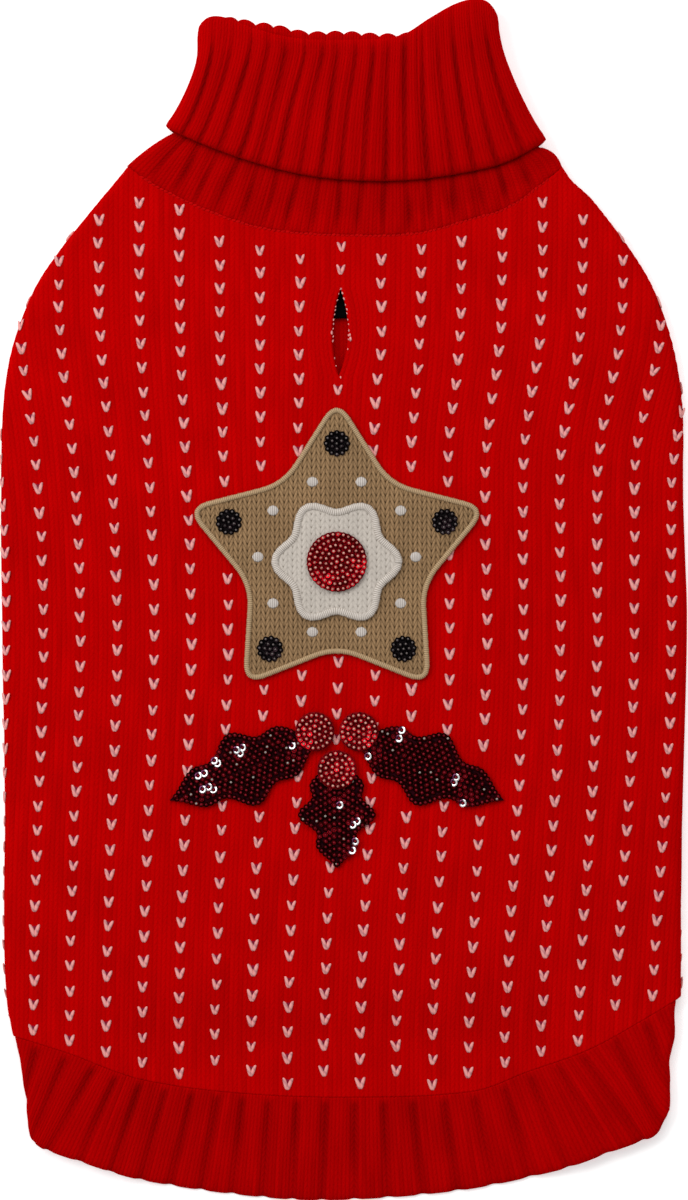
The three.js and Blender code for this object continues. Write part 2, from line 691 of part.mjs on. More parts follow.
for (const { name, x, y } of BERRIES) {
  const outline = ovalOutline(x, y, BERRY.radius, BERRY.radius, 24);
  add(name, plate(outline, BERRY_LOW, BERRY_LOW + BERRY.thick), 0xc4121f, 0.35);
}

export default group;
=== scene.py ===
"""The looks of a knitted dog sweater that lies flat with its back up.

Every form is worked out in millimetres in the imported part's own frame, and turned to metres when its mesh is
made. +X is to the right, +Y runs up the back to the collar and +Z points up out of the back.
"""

import logging
import math
from dataclasses import dataclass
from enum import Enum
from typing import Any, Callable, Sequence

import bpy
import numpy as np
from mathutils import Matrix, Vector


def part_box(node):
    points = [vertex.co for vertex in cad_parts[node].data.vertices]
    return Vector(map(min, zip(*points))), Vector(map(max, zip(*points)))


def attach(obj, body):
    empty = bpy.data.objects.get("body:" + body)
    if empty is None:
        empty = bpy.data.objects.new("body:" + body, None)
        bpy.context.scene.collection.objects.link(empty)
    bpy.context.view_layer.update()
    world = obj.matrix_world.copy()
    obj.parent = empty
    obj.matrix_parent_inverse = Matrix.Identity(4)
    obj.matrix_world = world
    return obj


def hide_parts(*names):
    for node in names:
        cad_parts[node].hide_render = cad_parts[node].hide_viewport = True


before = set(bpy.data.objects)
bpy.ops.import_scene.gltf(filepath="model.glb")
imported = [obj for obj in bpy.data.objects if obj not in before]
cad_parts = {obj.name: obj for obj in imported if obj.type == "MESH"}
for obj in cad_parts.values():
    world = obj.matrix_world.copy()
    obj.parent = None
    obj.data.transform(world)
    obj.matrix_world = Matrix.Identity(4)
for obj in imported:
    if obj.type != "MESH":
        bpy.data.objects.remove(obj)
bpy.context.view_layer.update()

LOG = logging.getLogger("dog_sweater")
SEED = 7
MM = 0.001  # a millimetre in metres
COURSE = 2.67  # the height of one course of the sweater's knit, in millimetres
STITCH = "stitch"  # the UV layer that gives each point's wale and course
PAINTED_LIGHT_AND_TONE = "painted_light_and_tone"  # the point attribute that carries painted light and tone: painted shade in the cloth's hollows, and tone with painted highlights and glints on sequins and knots
Array = np.ndarray
Face = tuple[int, ...]
Pair = tuple[float, float]
Triple = tuple[float, float, float]
Piece = bpy.types.Object
Material = bpy.types.Material
Socket = bpy.types.NodeSocket


# --- Small helpers ---


def mix(low: Any, high: Any, share: Any) -> Any:
    """Goes from low to high by share."""
    return low + (high - low) * share


def ease(value: Any, low: float, high: float) -> Any:
    """Rises smoothly from 0 at low to 1 at high."""
    t = np.clip((value - low) / (high - low), 0, 1)
    return t * t * (3 - 2 * t)


def linear(hex_colour: str) -> tuple[float, float, float, float]:
    """Turns an sRGB hex colour to linear light.

    Args:
        hex_colour: Six hex digits.

    Returns:
        Red, green, blue and an alpha of 1.
    """
    parts = [int(hex_colour[i : i + 2], 16) / 255 for i in (0, 2, 4)]
    light = [p / 12.92 if p <= 0.04045 else ((p + 0.055) / 1.055) ** 2.4 for p in parts]
    return (light[0], light[1], light[2], 1.0)


def box_mm(node: str) -> tuple[Array, Array]:
    """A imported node's lowest and highest corners, in millimetres."""
    low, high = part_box(node)
    return np.array(low) / MM, np.array(high) / MM


def together(*parts: Any) -> Array:
    """Stacks parts of matching shapes as the last axis."""
    return np.stack(np.broadcast_arrays(*parts), -1)


def angles(count: int) -> Array:
    """Even angles round a full turn."""
    return 2 * math.pi * np.arange(count) / count


def towards(angle: Any) -> Array:
    """X and Y of a step of one in a direction."""
    return together(np.cos(angle), np.sin(angle))


def spins(angle: Any) -> Array:
    """Matrices that turn about Z, one for each angle."""
    c, s, o = np.cos(angle), np.sin(angle), 0 * angle
    return np.stack([together(c, -s, o), together(s, c, o), together(o, o, o + 1)], -2)


def length_along(line: Array) -> Array:
    """How far along a line each of its points lies."""
    return np.concatenate([[0], np.cumsum(np.hypot(*np.diff(line, axis=0).T))])


@dataclass(frozen=True)
class Curve:
    """A smooth line through a short table of (where, value) rows, level past its ends."""

    rows: tuple[Pair, ...]

    def at(self, where: Any) -> Array:
        """Reads the line.

        Args:
            where: One place or an array of places.

        Returns:
            The value at each place.
        """
        knots, values = np.array(self.rows, float).T
        slopes = np.gradient(values, knots)
        slopes[1:-1] = (values[2:] - values[:-2]) / (knots[2:] - knots[:-2])
        i = np.clip(np.searchsorted(knots, where, side="right") - 1, 0, len(knots) - 2)
        span = knots[i + 1] - knots[i]
        t = np.clip((where - knots[i]) / span, 0, 1)
        start, end = slopes[i] * span, slopes[i + 1] * span
        low, high = values[i], values[i + 1]
        cubic = 2 * low - 2 * high + start + end
        square = 3 * high - 3 * low - 2 * start - end
        return ((cubic * t + square) * t + start) * t + low


# --- Meshes ---


@dataclass
class Form:
    """Points in millimetres, their faces, how each point lies in the knit, and the painted shade, painted
    highlights and tone that each point takes.
    """

    points: Array
    faces: list[Face]
    stitch: Array | None = None
    painted_light_and_tone: Array | float = 0.0


def joined(forms: Sequence[Form]) -> Form:
    """Joins forms that show no knit of their own.

    Args:
        forms: Forms to join.

    Returns:
        One form of all the points and faces.
    """
    offsets = np.cumsum([0] + [len(f.points) for f in forms])
    faces = [tuple(i + int(o) for i in face) for f, o in zip(forms, offsets) for face in f.faces]
    painted_light_and_tone = np.concatenate([np.broadcast_to(f.painted_light_and_tone, len(f.points)) for f in forms])
    return Form(np.concatenate([f.points for f in forms]), faces, painted_light_and_tone=painted_light_and_tone)


def close_shell(outer: Array, inner: Array, faces: list[Face], stitch: Array, painted_light_and_tone: Any = 0.0) -> Form:
    """Makes a closed wall from matching outer and inner points.

    Args:
        outer: Points of the outer face.
        inner: The same points on the inner face.
        faces: The outer face's polygons.
        stitch: The knit place of each point.
        painted_light_and_tone: The painted shade, painted highlights and tone at each point.

    Returns:
        The closed form.
    """
    count = len(outer)
    edges = {(a, b): None for f in faces for a, b in zip(f, f[1:] + f[:1])}
    walls = [(b, a, a + count, b + count) for a, b in edges if (b, a) not in edges]
    backs = [tuple(i + count for i in reversed(f)) for f in faces]
    both = np.tile(np.broadcast_to(np.ravel(painted_light_and_tone), count), 2)
    return Form(np.concatenate([outer, inner]), faces + backs + walls, np.concatenate([stitch, stitch]), both)


def grid_faces(left: Array, right: Array, ring: bool = False) -> list[Face]:
    """Faces of a grid whose rows and columns are given as point numbers.

    Args:
        left: Point numbers as the faces to their left see them.
        right: Point numbers as the faces to their right see them.
        ring: Whether the last column joins the first.

    Returns:
        Quads, or triangles where two points of a quad are one.
    """
    rows, columns = left.shape
    faces = []
    for r in range(rows - 1):
        for c in range(columns if ring else columns - 1):
            n = (c + 1) % columns
            corners = (right[r, c], left[r, n], left[r + 1, n], right[r + 1, c])
            face = tuple(dict.fromkeys(int(i) for i in corners))
            if len(face) > 2:
                faces.append(face)
    return faces


def plain_faces(rows: int, columns: int, ring: bool = False) -> list[Face]:
    """Faces of a grid of points numbered row by row."""
    numbers = np.arange(rows * columns).reshape(rows, columns)
    return grid_faces(numbers, numbers, ring)


def cloth_wall(outer: Array, inner: Array, stitch: Array, painted_light_and_tone: Any = 0.0, ring: bool = False) -> Form:
    """Makes a closed wall from two grids of points.

    Args:
        outer: Points of the outer face by row and column.
        inner: The same points on the inner face.
        stitch: The knit place of each point.
        painted_light_and_tone: The painted shade, painted highlights and tone at each point.
        ring: Whether the last column joins the first.

    Returns:
        The closed form.
    """
    faces = plain_faces(*outer.shape[:2], ring)
    return close_shell(outer.reshape(-1, 3), inner.reshape(-1, 3), faces, stitch.reshape(-1, 2), painted_light_and_tone)


def loop_faces(rows: int, columns: int) -> list[Face]:
    """Faces of a skin whose rows and columns both run on into their first."""
    return [
        (r * columns + c, r * columns + (c + 1) % columns,
         (r + 1) % rows * columns + (c + 1) % columns, (r + 1) % rows * columns + c)
        for r in range(rows)
        for c in range(columns)
    ]


def lofted(rings: Array) -> Form:
    """A closed form lofted through rings of points, with a fan over each end.

    Args:
        rings: Points by ring, by place round the ring.

    Returns:
        The form.
    """
    count, around = rings.shape[:2]
    points = np.concatenate([rings.reshape(-1, 3), rings[:1].mean(1), rings[-1:].mean(1)])
    low, high = count * around, count * around + 1
    turns = [(c, (c + 1) % around) for c in range(around)]
    last = low - around
    faces: list[Face] = [
        (r + c, r + n, r + n + around, r + c + around) for r in range(0, last, around) for c, n in turns
    ]
    for c, n in turns:
        faces += [(n, c, low), (last + c, last + n, high)]
    return Form(points, faces)


def repeated(form: Form, places: Array, turns: Array | None = None) -> Form:
    """Copies a small form to many places.

    Args:
        form: The form to copy.
        places: Where each copy's origin goes, by row.
        turns: A 3 by 3 matrix for each copy, or nothing to leave all as they are.

    Returns:
        All the copies as one form.
    """
    turns = np.tile(np.eye(3), (len(places), 1, 1)) if turns is None else turns
    points = np.einsum("nij,pj->npi", turns, form.points) + places[:, None, :]
    count = len(form.points)
    faces = [tuple(i + n * count for i in face) for n in range(len(places)) for face in form.faces]
    return Form(points.reshape(-1, 3), faces, painted_light_and_tone=form.painted_light_and_tone)


def pebble(long: float, wide: float, tall: float, around: int = 8, rings: int = 5) -> Form:
    """A small bump given by half its length, width and height, with its ends cut just short."""
    blunt = 0.12
    rise = np.linspace(blunt, math.pi - blunt, rings)[:, None]
    turn = angles(around)
    size = np.sin(rise)
    return lofted(together(-long * np.cos(rise), wide * size * np.cos(turn), tall * size * np.sin(turn)))


def turned_out(points: Array, faces: list[Face]) -> bool:
    """Tells whether a closed form's faces look out."""
    volume = 0.0
    for face in faces:
        a = points[face[0]]
        for i in range(1, len(face) - 1):
            volume += float(np.dot(a, np.cross(points[face[i]], points[face[i + 1]])))
    return volume >= 0


def to_object(name: str, form: Form, material: Material) -> Piece:
    """Makes a Blender object from a form.

    Args:
        name: The piece's name.
        form: Its points and faces.
        material: Its material.

    Returns:
        The object, linked to the scene.
    """
    faces = form.faces if turned_out(form.points, form.faces) else [f[::-1] for f in form.faces]
    mesh = bpy.data.meshes.new(name)
    mesh.from_pydata((form.points * MM).tolist(), [], faces)
    mesh.materials.append(material)
    if form.stitch is not None:
        layer = mesh.uv_layers.new(name=STITCH)
        corners = np.empty(len(mesh.loops), int)
        mesh.loops.foreach_get("vertex_index", corners)
        layer.uv.foreach_set("vector", form.stitch[corners].astype(np.float32).ravel())
    values = mesh.attributes.new(name=PAINTED_LIGHT_AND_TONE, type="FLOAT", domain="POINT").data
    values.foreach_set("value", np.broadcast_to(form.painted_light_and_tone, len(form.points)).astype(np.float32))
    mesh.polygons.foreach_set("use_smooth", [True] * len(mesh.polygons))
    mesh.update()
    obj = bpy.data.objects.new(name, mesh)
    bpy.context.scene.collection.objects.link(obj)
    return obj


# --- How the cloth lies ---

WALL = 2.2
LAYER_GAP = 1.8
SEAM_GAP = 0.4
SEAM_JOIN = 0.02
TOP_INSIDE = WALL + LAYER_GAP
FOLD_INSIDE = LAYER_GAP / 2
FOLD_RADIUS = FOLD_INSIDE + WALL
FOLD_LENGTH = math.pi * FOLD_RADIUS
FLAP_WIDTH = 36.0
DRAPE_LENGTH = 34.0
DRAPE_INSET = 32.0
SWELL_INSET = 24.0
BELLY_BAND_LOWER = -155.0
SETTLE_PASSES = 30  # how often lay and the belly pull each point to its place between two seams
SETTLE_SHARE = 0.7  # how much of the way they pull it each time

NECK_SEAM = Curve(
    ((-94, 184.2), (-80, 174), (-56, 162.5), (-31, 155), (7, 152.5), (32, 153.7), (51, 158.8), (70, 165),
     (94, 183))
)
HEM_SEAM = Curve(
    ((-142, -181.5), (-115, -190), (-85, -201), (-48, -206.6), (0, -208.7), (54, -206.2), (77, -198),
     (104, -187.6), (129, -173.6), (143, -165))
)
HEM_RIM = Curve(
    ((-134, -225.6), (-130.6, -227.8), (-125, -230.4), (-112, -234.9), (-83.6, -243.6), (-41, -250),
     (-6, -252), (49, -247.8), (89, -239.4), (112, -231.2), (124, -226.9), (131, -223.6), (137.5, -213.5))
)


@dataclass(frozen=True)
class Sides:
    """The left and right outline of a flattened tube, read by height."""

    left: Curve
    right: Curve

    def middle(self, y: Array) -> Array:
        """X halfway between the two sides."""
        return (self.left.at(y) + self.right.at(y)) / 2

    def half_flat(self, y: Array) -> Array:
        """Half of the tube's flat width, without its rounded edges."""
        return (self.right.at(y) - self.left.at(y)) / 2 - FOLD_RADIUS

    def end(self, y: Array) -> Array:
        """How far round the tube the cloth reaches, from its middle to the free edge under one side."""
        return self.half_flat(y) + (math.pi - 1) * FOLD_RADIUS + FLAP_WIDTH

    def under(self, reach: Array, y: Array, bend_from: float) -> Array:
        """How far the cloth has turned under, from 0 at a share of the fold to 1 past it."""
        return ease(np.abs(reach) - self.half_flat(y), FOLD_LENGTH * bend_from, FOLD_LENGTH)


BODY_SIDES = Sides(
    left=Curve(
        ((-186, -138), (-168, -141.4), (-134, -142.5), (-84, -142.2), (-8, -143.4), (42, -143.8), (80, -143),
         (105, -139.3), (130, -130), (147, -118.9), (168, -102), (172, -98.6), (176, -95.3), (180, -92),
         (184, -89))
    ),
    right=Curve(
        ((-186, 140.6), (-168, 141.3), (-134, 141.3), (-84, 142), (-8, 143.8), (42, 142.2), (80, 142),
         (105, 138.4), (130, 130), (147, 120), (168, 104), (172, 99.8), (176, 95.4), (180, 92.6), (184, 90.6))
    ),
)
HEM_SIDES = Sides(
    left=Curve(
        ((-229.5, -129.4), (-226.5, -131.1), (-223, -132.1), (-218, -132.7), (-210, -133.6), (-202, -134.6),
         (-193, -135.8), (-183, -138), (-168, -139.4))
    ),
    right=Curve(
        ((-229.5, 135.4), (-223, 135.4), (-218, 136.4), (-210, 136.8), (-202, 137), (-193, 136.5),
         (-183, 138.7), (-168, 139.2))
    ),
)


@dataclass(frozen=True)
class Swell:
    """One soft low ridge pressed into the cloth by how it was folded away."""

    x: float
    y: float
    turn: float
    length: float
    width: float
    height: float

    def at(self, x: Array, y: Array) -> Array:
        """The ridge's height at each place."""
        angle = math.radians(self.turn)
        along_it = (x - self.x) * math.cos(angle) + (y - self.y) * math.sin(angle)
        across_it = (y - self.y) * math.cos(angle) - (x - self.x) * math.sin(angle)
        return self.height * np.exp(-((along_it / self.length) ** 2) - (across_it / self.width) ** 2)


SWELLS = (
    Swell(-96, 96, 62, 46, 9, 0.7),
    Swell(101, 70, 104, 60, 11, 0.6),
    Swell(-104, -62, 84, 70, 12, 0.6),
    Swell(78, -98, 70, 52, 10, 0.7),
    Swell(-52, -150, 28, 40, 8, 0.5),
    Swell(112, -130, 118, 34, 8, 0.5),
)


def swelling(x: Array, y: Array) -> Array:
    """How far the upper layer stands above its plain height."""
    return sum(swell.at(x, y) for swell in SWELLS)


def top_inside(x: Array, y: Array) -> Array:
    """Height of the upper layer's inside: it lies on the layer below, or sinks to the surface past it."""
    reach = np.minimum(x - BODY_SIDES.left.at(y), BODY_SIDES.right.at(y) - x)
    sideways = 1 - ease(reach, FLAP_WIDTH, FLAP_WIDTH + DRAPE_INSET)
    lengthways = ease(y, BELLY_BAND_LOWER - DRAPE_LENGTH, BELLY_BAND_LOWER - 1)
    return TOP_INSIDE * (1 - (1 - sideways) * (1 - lengthways))


def round_tube(sides: Sides, reach: Array, y: Array, thick: Any) -> Array:
    """Places cloth round a flattened tube.

    Args:
        sides: The tube's outline.
        reach: How far each point lies from the tube's middle, along the cloth.
        y: Each point's height up the garment.
        thick: How far each point stands off the cloth's inside face.

    Returns:
        X, Y and Z of each point.
    """
    flat = sides.half_flat(y)
    past = np.abs(reach) - flat
    turn = np.clip(past / FOLD_RADIUS, 0, math.pi)
    bend = FOLD_INSIDE + thick
    beyond = np.maximum(past - FOLD_LENGTH, 0)
    across = np.where(past < 0, np.abs(reach), flat + bend * np.sin(turn) - beyond)
    x = sides.middle(y) + np.where(reach < 0, -1, 1) * across
    over = top_inside(x, y) + thick + swelling(x, y) * ease(-past, 0, SWELL_INSET)
    round_fold = FOLD_RADIUS + bend * np.cos(turn)
    z = np.where(past < 0, over, np.where(past < FOLD_LENGTH, round_fold, WALL - thick))
    return together(x, y, z)


def lay(sides: Sides, lower: Curve, upper: Curve, share: Array, reach_of: Callable[[Array], Array],
        thick: Any) -> Array:
    """Places cloth round a tube between its two seams.

    Args:
        sides: The tube's outline.
        lower: Its lower seam's height, by X.
        upper: Its upper seam's height, by X.
        share: How far each point lies from the lower seam to the upper one.
        reach_of: Gives each point's reach from its height.
        thick: How far each point stands off the inside face.

    Returns:
        X, Y and Z of each point.
    """
    y = mix(lower.at(0), upper.at(0), share)
    for _ in range(SETTLE_PASSES):
        x = round_tube(sides, reach_of(y), y, thick)[..., 0]
        y = mix(y, mix(lower.at(x), upper.at(x), share), SETTLE_SHARE)
    return round_tube(sides, reach_of(y), y, thick)


# --- The knit's own grid ---


@dataclass(frozen=True)
class KnitGrid:
    """Where the body's wales and courses run. Every fourth wale holds a column of white stitches."""

    column_pitch: Curve = Curve(
        ((-180, 15.2), (-139, 15.3), (-105, 15.4), (-63, 15.45), (21, 15.5), (63, 15.75), (108, 16.7),
         (147, 16.9))
    )
    column_middle: Curve = Curve(
        ((-180, -8.5), (-139, -7.1), (-105, -5.5), (-63, -3.4), (-21, -2.1), (21, -2.5), (63, -3.4),
         (108, -1.7), (147, -1.3))
    )
    row_at: Curve = Curve(((-230, -22.06), (-210, -20.19), (5.6, 0), (98, 9), (160, 15.2), (200, 19.2)))
    wales: int = 4
    courses: int = 4
    droop: float = 5.0
    droop_growth: float = 0.03
    droop_from: float = -150.0
    droop_column: float = 8.0
    droop_power: float = 1.6

    def reach(self, column: Array, y: Array) -> Array:
        """How far a column of stitches lies from the tube's middle, along the cloth."""
        return self.column_middle.at(y) + column * self.column_pitch.at(y) - BODY_SIDES.middle(y)

    def column(self, reach: Array, y: Array) -> Array:
        """The column of stitches at a reach."""
        return (reach + BODY_SIDES.middle(y) - self.column_middle.at(y)) / self.column_pitch.at(y)

    def sink(self, column: Array, y: Array) -> Array:
        """How far a row hangs below its middle at a column."""
        out = np.abs(column) / self.droop_column
        return (self.droop + self.droop_growth * (y - self.droop_from)) * out**self.droop_power

    def row(self, column: Array, y: Array) -> Array:
        """The row of stitches that passes through a place."""
        return self.row_at.at(y + self.sink(column, y))

    def height(self, column: Array, row: Array) -> Array:
        """The height at which a row crosses a column, found from an even spacing by small steps."""
        (low, low_row), (middle, _) = self.row_at.rows[1:3]
        steps, step = 14, 8.0
        y = middle + row / low_row * (low - middle)
        for _ in range(steps):
            y = y - (self.row(column, y) - row) * step
        return y

    def stitch(self, column: Array, y: Array) -> Array:
        """Wale and course numbers at each place, with a wale's middle at each half."""
        return together(column * self.wales + 0.5, self.row(column, y) * self.courses)


KNIT_GRID = KnitGrid()


# --- Finishes ---


@dataclass
class Graph:
    """A material's nodes, each added with its settings and links."""

    tree: bpy.types.NodeTree

    def add(self, kind: str, *values: Any, output: int | str = 0, places: dict[Any, Any] | None = None,
            **settings: Any) -> Socket:
        """Adds one node.

        Args:
            kind: The node's type, or what a math node does.
            *values: What its first sockets take: a number, a colour or another node's socket.
            output: Which of its sockets to give back.
            places: What its other sockets take, by name or number.
            **settings: The node's own settings.

        Returns:
            The chosen output socket.
        """
        if kind.isupper():
            kind, settings = "ShaderNodeMath", {"operation": kind, **settings}
        node = self.tree.nodes.new(kind)
        for name, value in settings.items():
            setattr(node, name, value)
        for place, value in [*enumerate(values), *(places or {}).items()]:
            if isinstance(value, Socket):
                self.tree.links.new(value, node.inputs[place])
            elif value is not None:
                node.inputs[place].default_value = value
        return node.outputs[output] if len(node.outputs) else None


def new_material(name: str) -> tuple[Material, Graph]:
    """Makes an empty node material."""
    material = bpy.data.materials.new(name)
    material.use_nodes = True
    material.node_tree.nodes.clear()
    return material, Graph(material.node_tree)


def finish_surface(graph: Graph, colour: Any, roughness: Any, bumps: Sequence[tuple[Any, float, float]],
                   **fixed: Any) -> None:
    """Ends a material with its shader.

    Args:
        graph: The material's nodes.
        colour: The base colour's socket.
        roughness: The roughness, a number or a socket.
        bumps: Height, depth in millimetres and strength of each bump, coarse first.
        **fixed: Values for the shader's other sockets, by name with _ for each space.
    """
    normal = None
    for height, depth, strength in bumps:
        normal = graph.add("ShaderNodeBump", places={"Strength": strength, "Distance": depth * MM,
                                                     "Height": height, "Normal": normal})
    others = {name.replace("_", " "): value for name, value in fixed.items()}
    shader = graph.add("ShaderNodeBsdfPrincipled",
                       places={"Base Color": colour, "Roughness": roughness, "Normal": normal, **others})
    graph.add("ShaderNodeOutputMaterial", shader)


def in_knit(graph: Graph) -> Socket:
    """Each point's wale. Its node's next output is the course."""
    return graph.add("ShaderNodeSeparateXYZ", graph.add("ShaderNodeUVMap", uv_map=STITCH))


def painted_light_and_tone_of(graph: Graph) -> Socket:
    """The painted light and tone that each point takes."""
    return graph.add("ShaderNodeAttribute", output="Fac", attribute_name=PAINTED_LIGHT_AND_TONE)


def stripes(graph: Graph, place: Any, pitch: float) -> Socket:
    """A wave from -1 to 1 that repeats at a pitch."""
    turn = graph.add("MULTIPLY", place, 2 * math.pi / pitch)
    return graph.add("SINE", turn)


def grain(graph: Graph, size: float, detail: float = 2.0) -> Socket:
    """Noise of one grain size.

    Args:
        graph: The material's nodes.
        size: The grain's size in millimetres.
        detail: How many finer layers it has.

    Returns:
        A value about 0.5.
    """
    place = graph.add("ShaderNodeTexCoord", output="Object")
    settings = {"Vector": place, "Scale": 1 / (size * MM), "Detail": detail}
    return graph.add("ShaderNodeTexNoise", places=settings)


def blend(graph: Graph, share: Any, low: Any, high: Any, mode: str = "MIX") -> Socket:
    """Blends two colours by share."""
    colours = {6: low, 7: high}
    return graph.add("ShaderNodeMix", share, places=colours, output=2, data_type="RGBA", blend_type=mode)


def spread(graph: Graph, value: Any, low: float, high: float, to_low: float = 0.0,
           to_high: float = 1.0) -> Socket:
    """Stretches a value's range from low and high to to_low and to_high."""
    return graph.add("ShaderNodeMapRange", value, low, high, to_low, to_high)


NOISE_RANGE = (0.3, 0.7)  # nearly all of a noise's values lie between these


@dataclass(frozen=True)
class AcrylicKnit:
    """Spun acrylic yarn, knitted on a machine and steamed flat.

    The yarn is matt and deep in tone. Each stitch shows two slanting legs with a line of painted shade between
    them, and a small pit painted dark where it comes out of the stitch below; the cloth's hollows take painted
    shade too.
    """

    name: str
    yarn: str
    deep: str
    slant: float = 1.0
    leg_depth: float = 0.3
    valley: float = 0.22
    tuck: float = 0.1
    pit: float = 0.2
    pit_slope: float = -1.2
    gap_drop: float = 0.7
    tuck_drop: float = 0.4
    hollow_shade: float = 0.85
    hollow_tuck: float = 0.55
    fibre: float = 0.7
    patch: float = 16.0
    fuzz: float = 0.3
    mottle: float = 0.07
    streak: float = 0.06
    streak_scale: Pair = (3.7, 0.07)

    def build(self) -> Material:
        """Makes the material from the stitch layout and the cloth's hollows."""
        material, graph = new_material(self.name)
        wale = in_knit(graph)
        course = wale.node.outputs[1]
        fibre = grain(graph, self.fibre)
        shade, height = self.stitches(graph, wale, course)
        # Painted shade: the deep colour fills the gaps between the legs, the pits, the tucks and the cloth's
        # hollows.
        colour = blend(graph, shade, linear(self.deep), linear(self.yarn))
        leg = graph.add("FLOOR", graph.add("MULTIPLY", wale, 2.0))
        across, lengthways = self.streak_scale
        lane = graph.add("ShaderNodeCombineXYZ", graph.add("MULTIPLY", leg, across),
                         graph.add("MULTIPLY", course, lengthways))
        streak = graph.add("ShaderNodeTexNoise", places={"Vector": lane, "Scale": 1.0, "Detail": 1.0})
        broad = grain(graph, self.patch, 1.0)
        for value, amount in ((fibre, self.mottle), (broad, self.mottle / 2), (streak, self.streak)):
            tone = spread(graph, value, *NOISE_RANGE, 1 - amount, 1 + amount)
            colour = blend(graph, 1.0, colour, tone, "MULTIPLY")
        bumps = ((height, self.leg_depth, 0.8), (fibre, self.fuzz, 0.3))
        finish_surface(graph, colour, 0.95, bumps, Specular_IOR_Level=0.0)
        return material

    def stitches(self, graph: Graph, wale: Any, course: Any) -> tuple[Any, Any]:
        """Draws the two legs of each stitch.

        Args:
            graph: The material's nodes.
            wale: Each point's wale.
            course: Each point's course.

        Returns:
            The painted shade (1 on open yarn, less in the gaps, pits, tucks and hollows), and how high the
            yarn is.
        """
        side = graph.add("SUBTRACT", graph.add("FRACT", wale), 0.5)
        out = graph.add("ABSOLUTE", side)
        # The gap is 1 between the legs and between the wales, and 0 along each leg.
        gap = graph.add("MULTIPLY_ADD", out, 4.0, -1.0)
        gap = graph.add("POWER", gap, 2.0)
        rise = graph.add("MULTIPLY_ADD", out, -2.0 * self.slant, course)
        wave = graph.add("ABSOLUTE", stripes(graph, rise, 2.0))
        # The tuck is 1 where one course goes under the next.
        tuck = graph.add("POWER", graph.add("SUBTRACT", 1.0, wave), 2.0)
        mid = graph.add("MULTIPLY_ADD", out, self.pit_slope, 1.0)
        pit = graph.add("MULTIPLY", graph.add("MULTIPLY", gap, tuck), mid)
        # Painted shade: the pits, the tucks and the gaps between the legs darken the yarn.
        shade = graph.add("MULTIPLY_ADD", pit, -self.pit, 1.0)
        shade = graph.add("MULTIPLY_ADD", tuck, -self.tuck, shade)
        shade = graph.add("MULTIPLY_ADD", gap, -self.valley, shade, use_clamp=True)
        # Painted shade in the cloth's hollows, a little deeper at each tuck.
        hollow_painted_shade = graph.add("MULTIPLY_ADD", tuck, self.hollow_tuck, self.hollow_shade)
        hollow_painted_shade = graph.add("MULTIPLY", hollow_painted_shade, painted_light_and_tone_of(graph))
        left = graph.add("SUBTRACT", 1.0, hollow_painted_shade, use_clamp=True)
        shade = graph.add("MULTIPLY", shade, left)
        height = graph.add("MULTIPLY", graph.add("MULTIPLY_ADD", gap, -self.gap_drop, 1.0),
                           graph.add("MULTIPLY_ADD", tuck, -self.tuck_drop, 1.0))
        return shade, height


@dataclass(frozen=True)
class PlainYarn:
    """Loose spun acrylic yarn that shows as single stitches: matt, a little uneven, with fine twist.

    Where the piece's painted light is 1 it takes its second colour: painted shade on the white stitches'
    notch, and a painted glint on a few knots.
    """

    name: str
    yarn: str
    deep: str
    twist: float = 5.67
    patch: float = 1.6
    # The second colour: painted shade on the white stitches' notch, or a painted glint on a few knots.
    painted_shade_and_glint: str = "7e1430"

    def build(self) -> Material:
        """Makes the material with a slanting twist and a soft mottle."""
        material, graph = new_material(self.name)
        place = graph.add("ShaderNodeTexCoord", output="Object")
        ply = graph.add("ShaderNodeTexWave", output="Fac",
                        places={"Vector": place, "Scale": 1 / (self.twist * MM), "Distortion": 1.2},
                        wave_type="BANDS", bands_direction="DIAGONAL")
        tone = graph.add("MULTIPLY", grain(graph, self.patch), 0.5)
        # Painted shade between the plies of the twist, mixed with a random mottle.
        mixed = graph.add("MULTIPLY_ADD", ply, 0.5, tone)
        colour = blend(graph, spread(graph, mixed, 0.15, 0.5), linear(self.deep), linear(self.yarn))
        # Painted shade and painted glints: where the painted light is 1 the colour turns to the second one.
        colour = blend(graph, painted_light_and_tone_of(graph), colour, linear(self.painted_shade_and_glint))
        finish_surface(graph, colour, 0.9, ((ply, 0.1, 0.4),), Specular_IOR_Level=0.05)
        return material


@dataclass(frozen=True)
class SatinThread:
    """Rayon embroidery thread laid side by side over an edge: close fine lines with a low silky gloss."""

    name: str
    thread: str
    deep: str
    pitch: float = 0.8

    def build(self) -> Material:
        """Makes the material with a line for each stitch, coarser than the real 0.4 mm ones, so they show."""
        material, graph = new_material(self.name)
        line = spread(graph, stripes(graph, in_knit(graph), self.pitch), -1.0, 0.6)
        tone = spread(graph, grain(graph, 2.2), *NOISE_RANGE, 0.75, 1.0)
        mixed = graph.add("MULTIPLY", line, tone)
        # Painted shade in the low lines between the stitches, with a random tone.
        colour = blend(graph, mixed, linear(self.deep), linear(self.thread))
        finish_surface(graph, colour, 0.55, ((line, 0.3, 0.6),), Specular_IOR_Level=0.35)
        return material


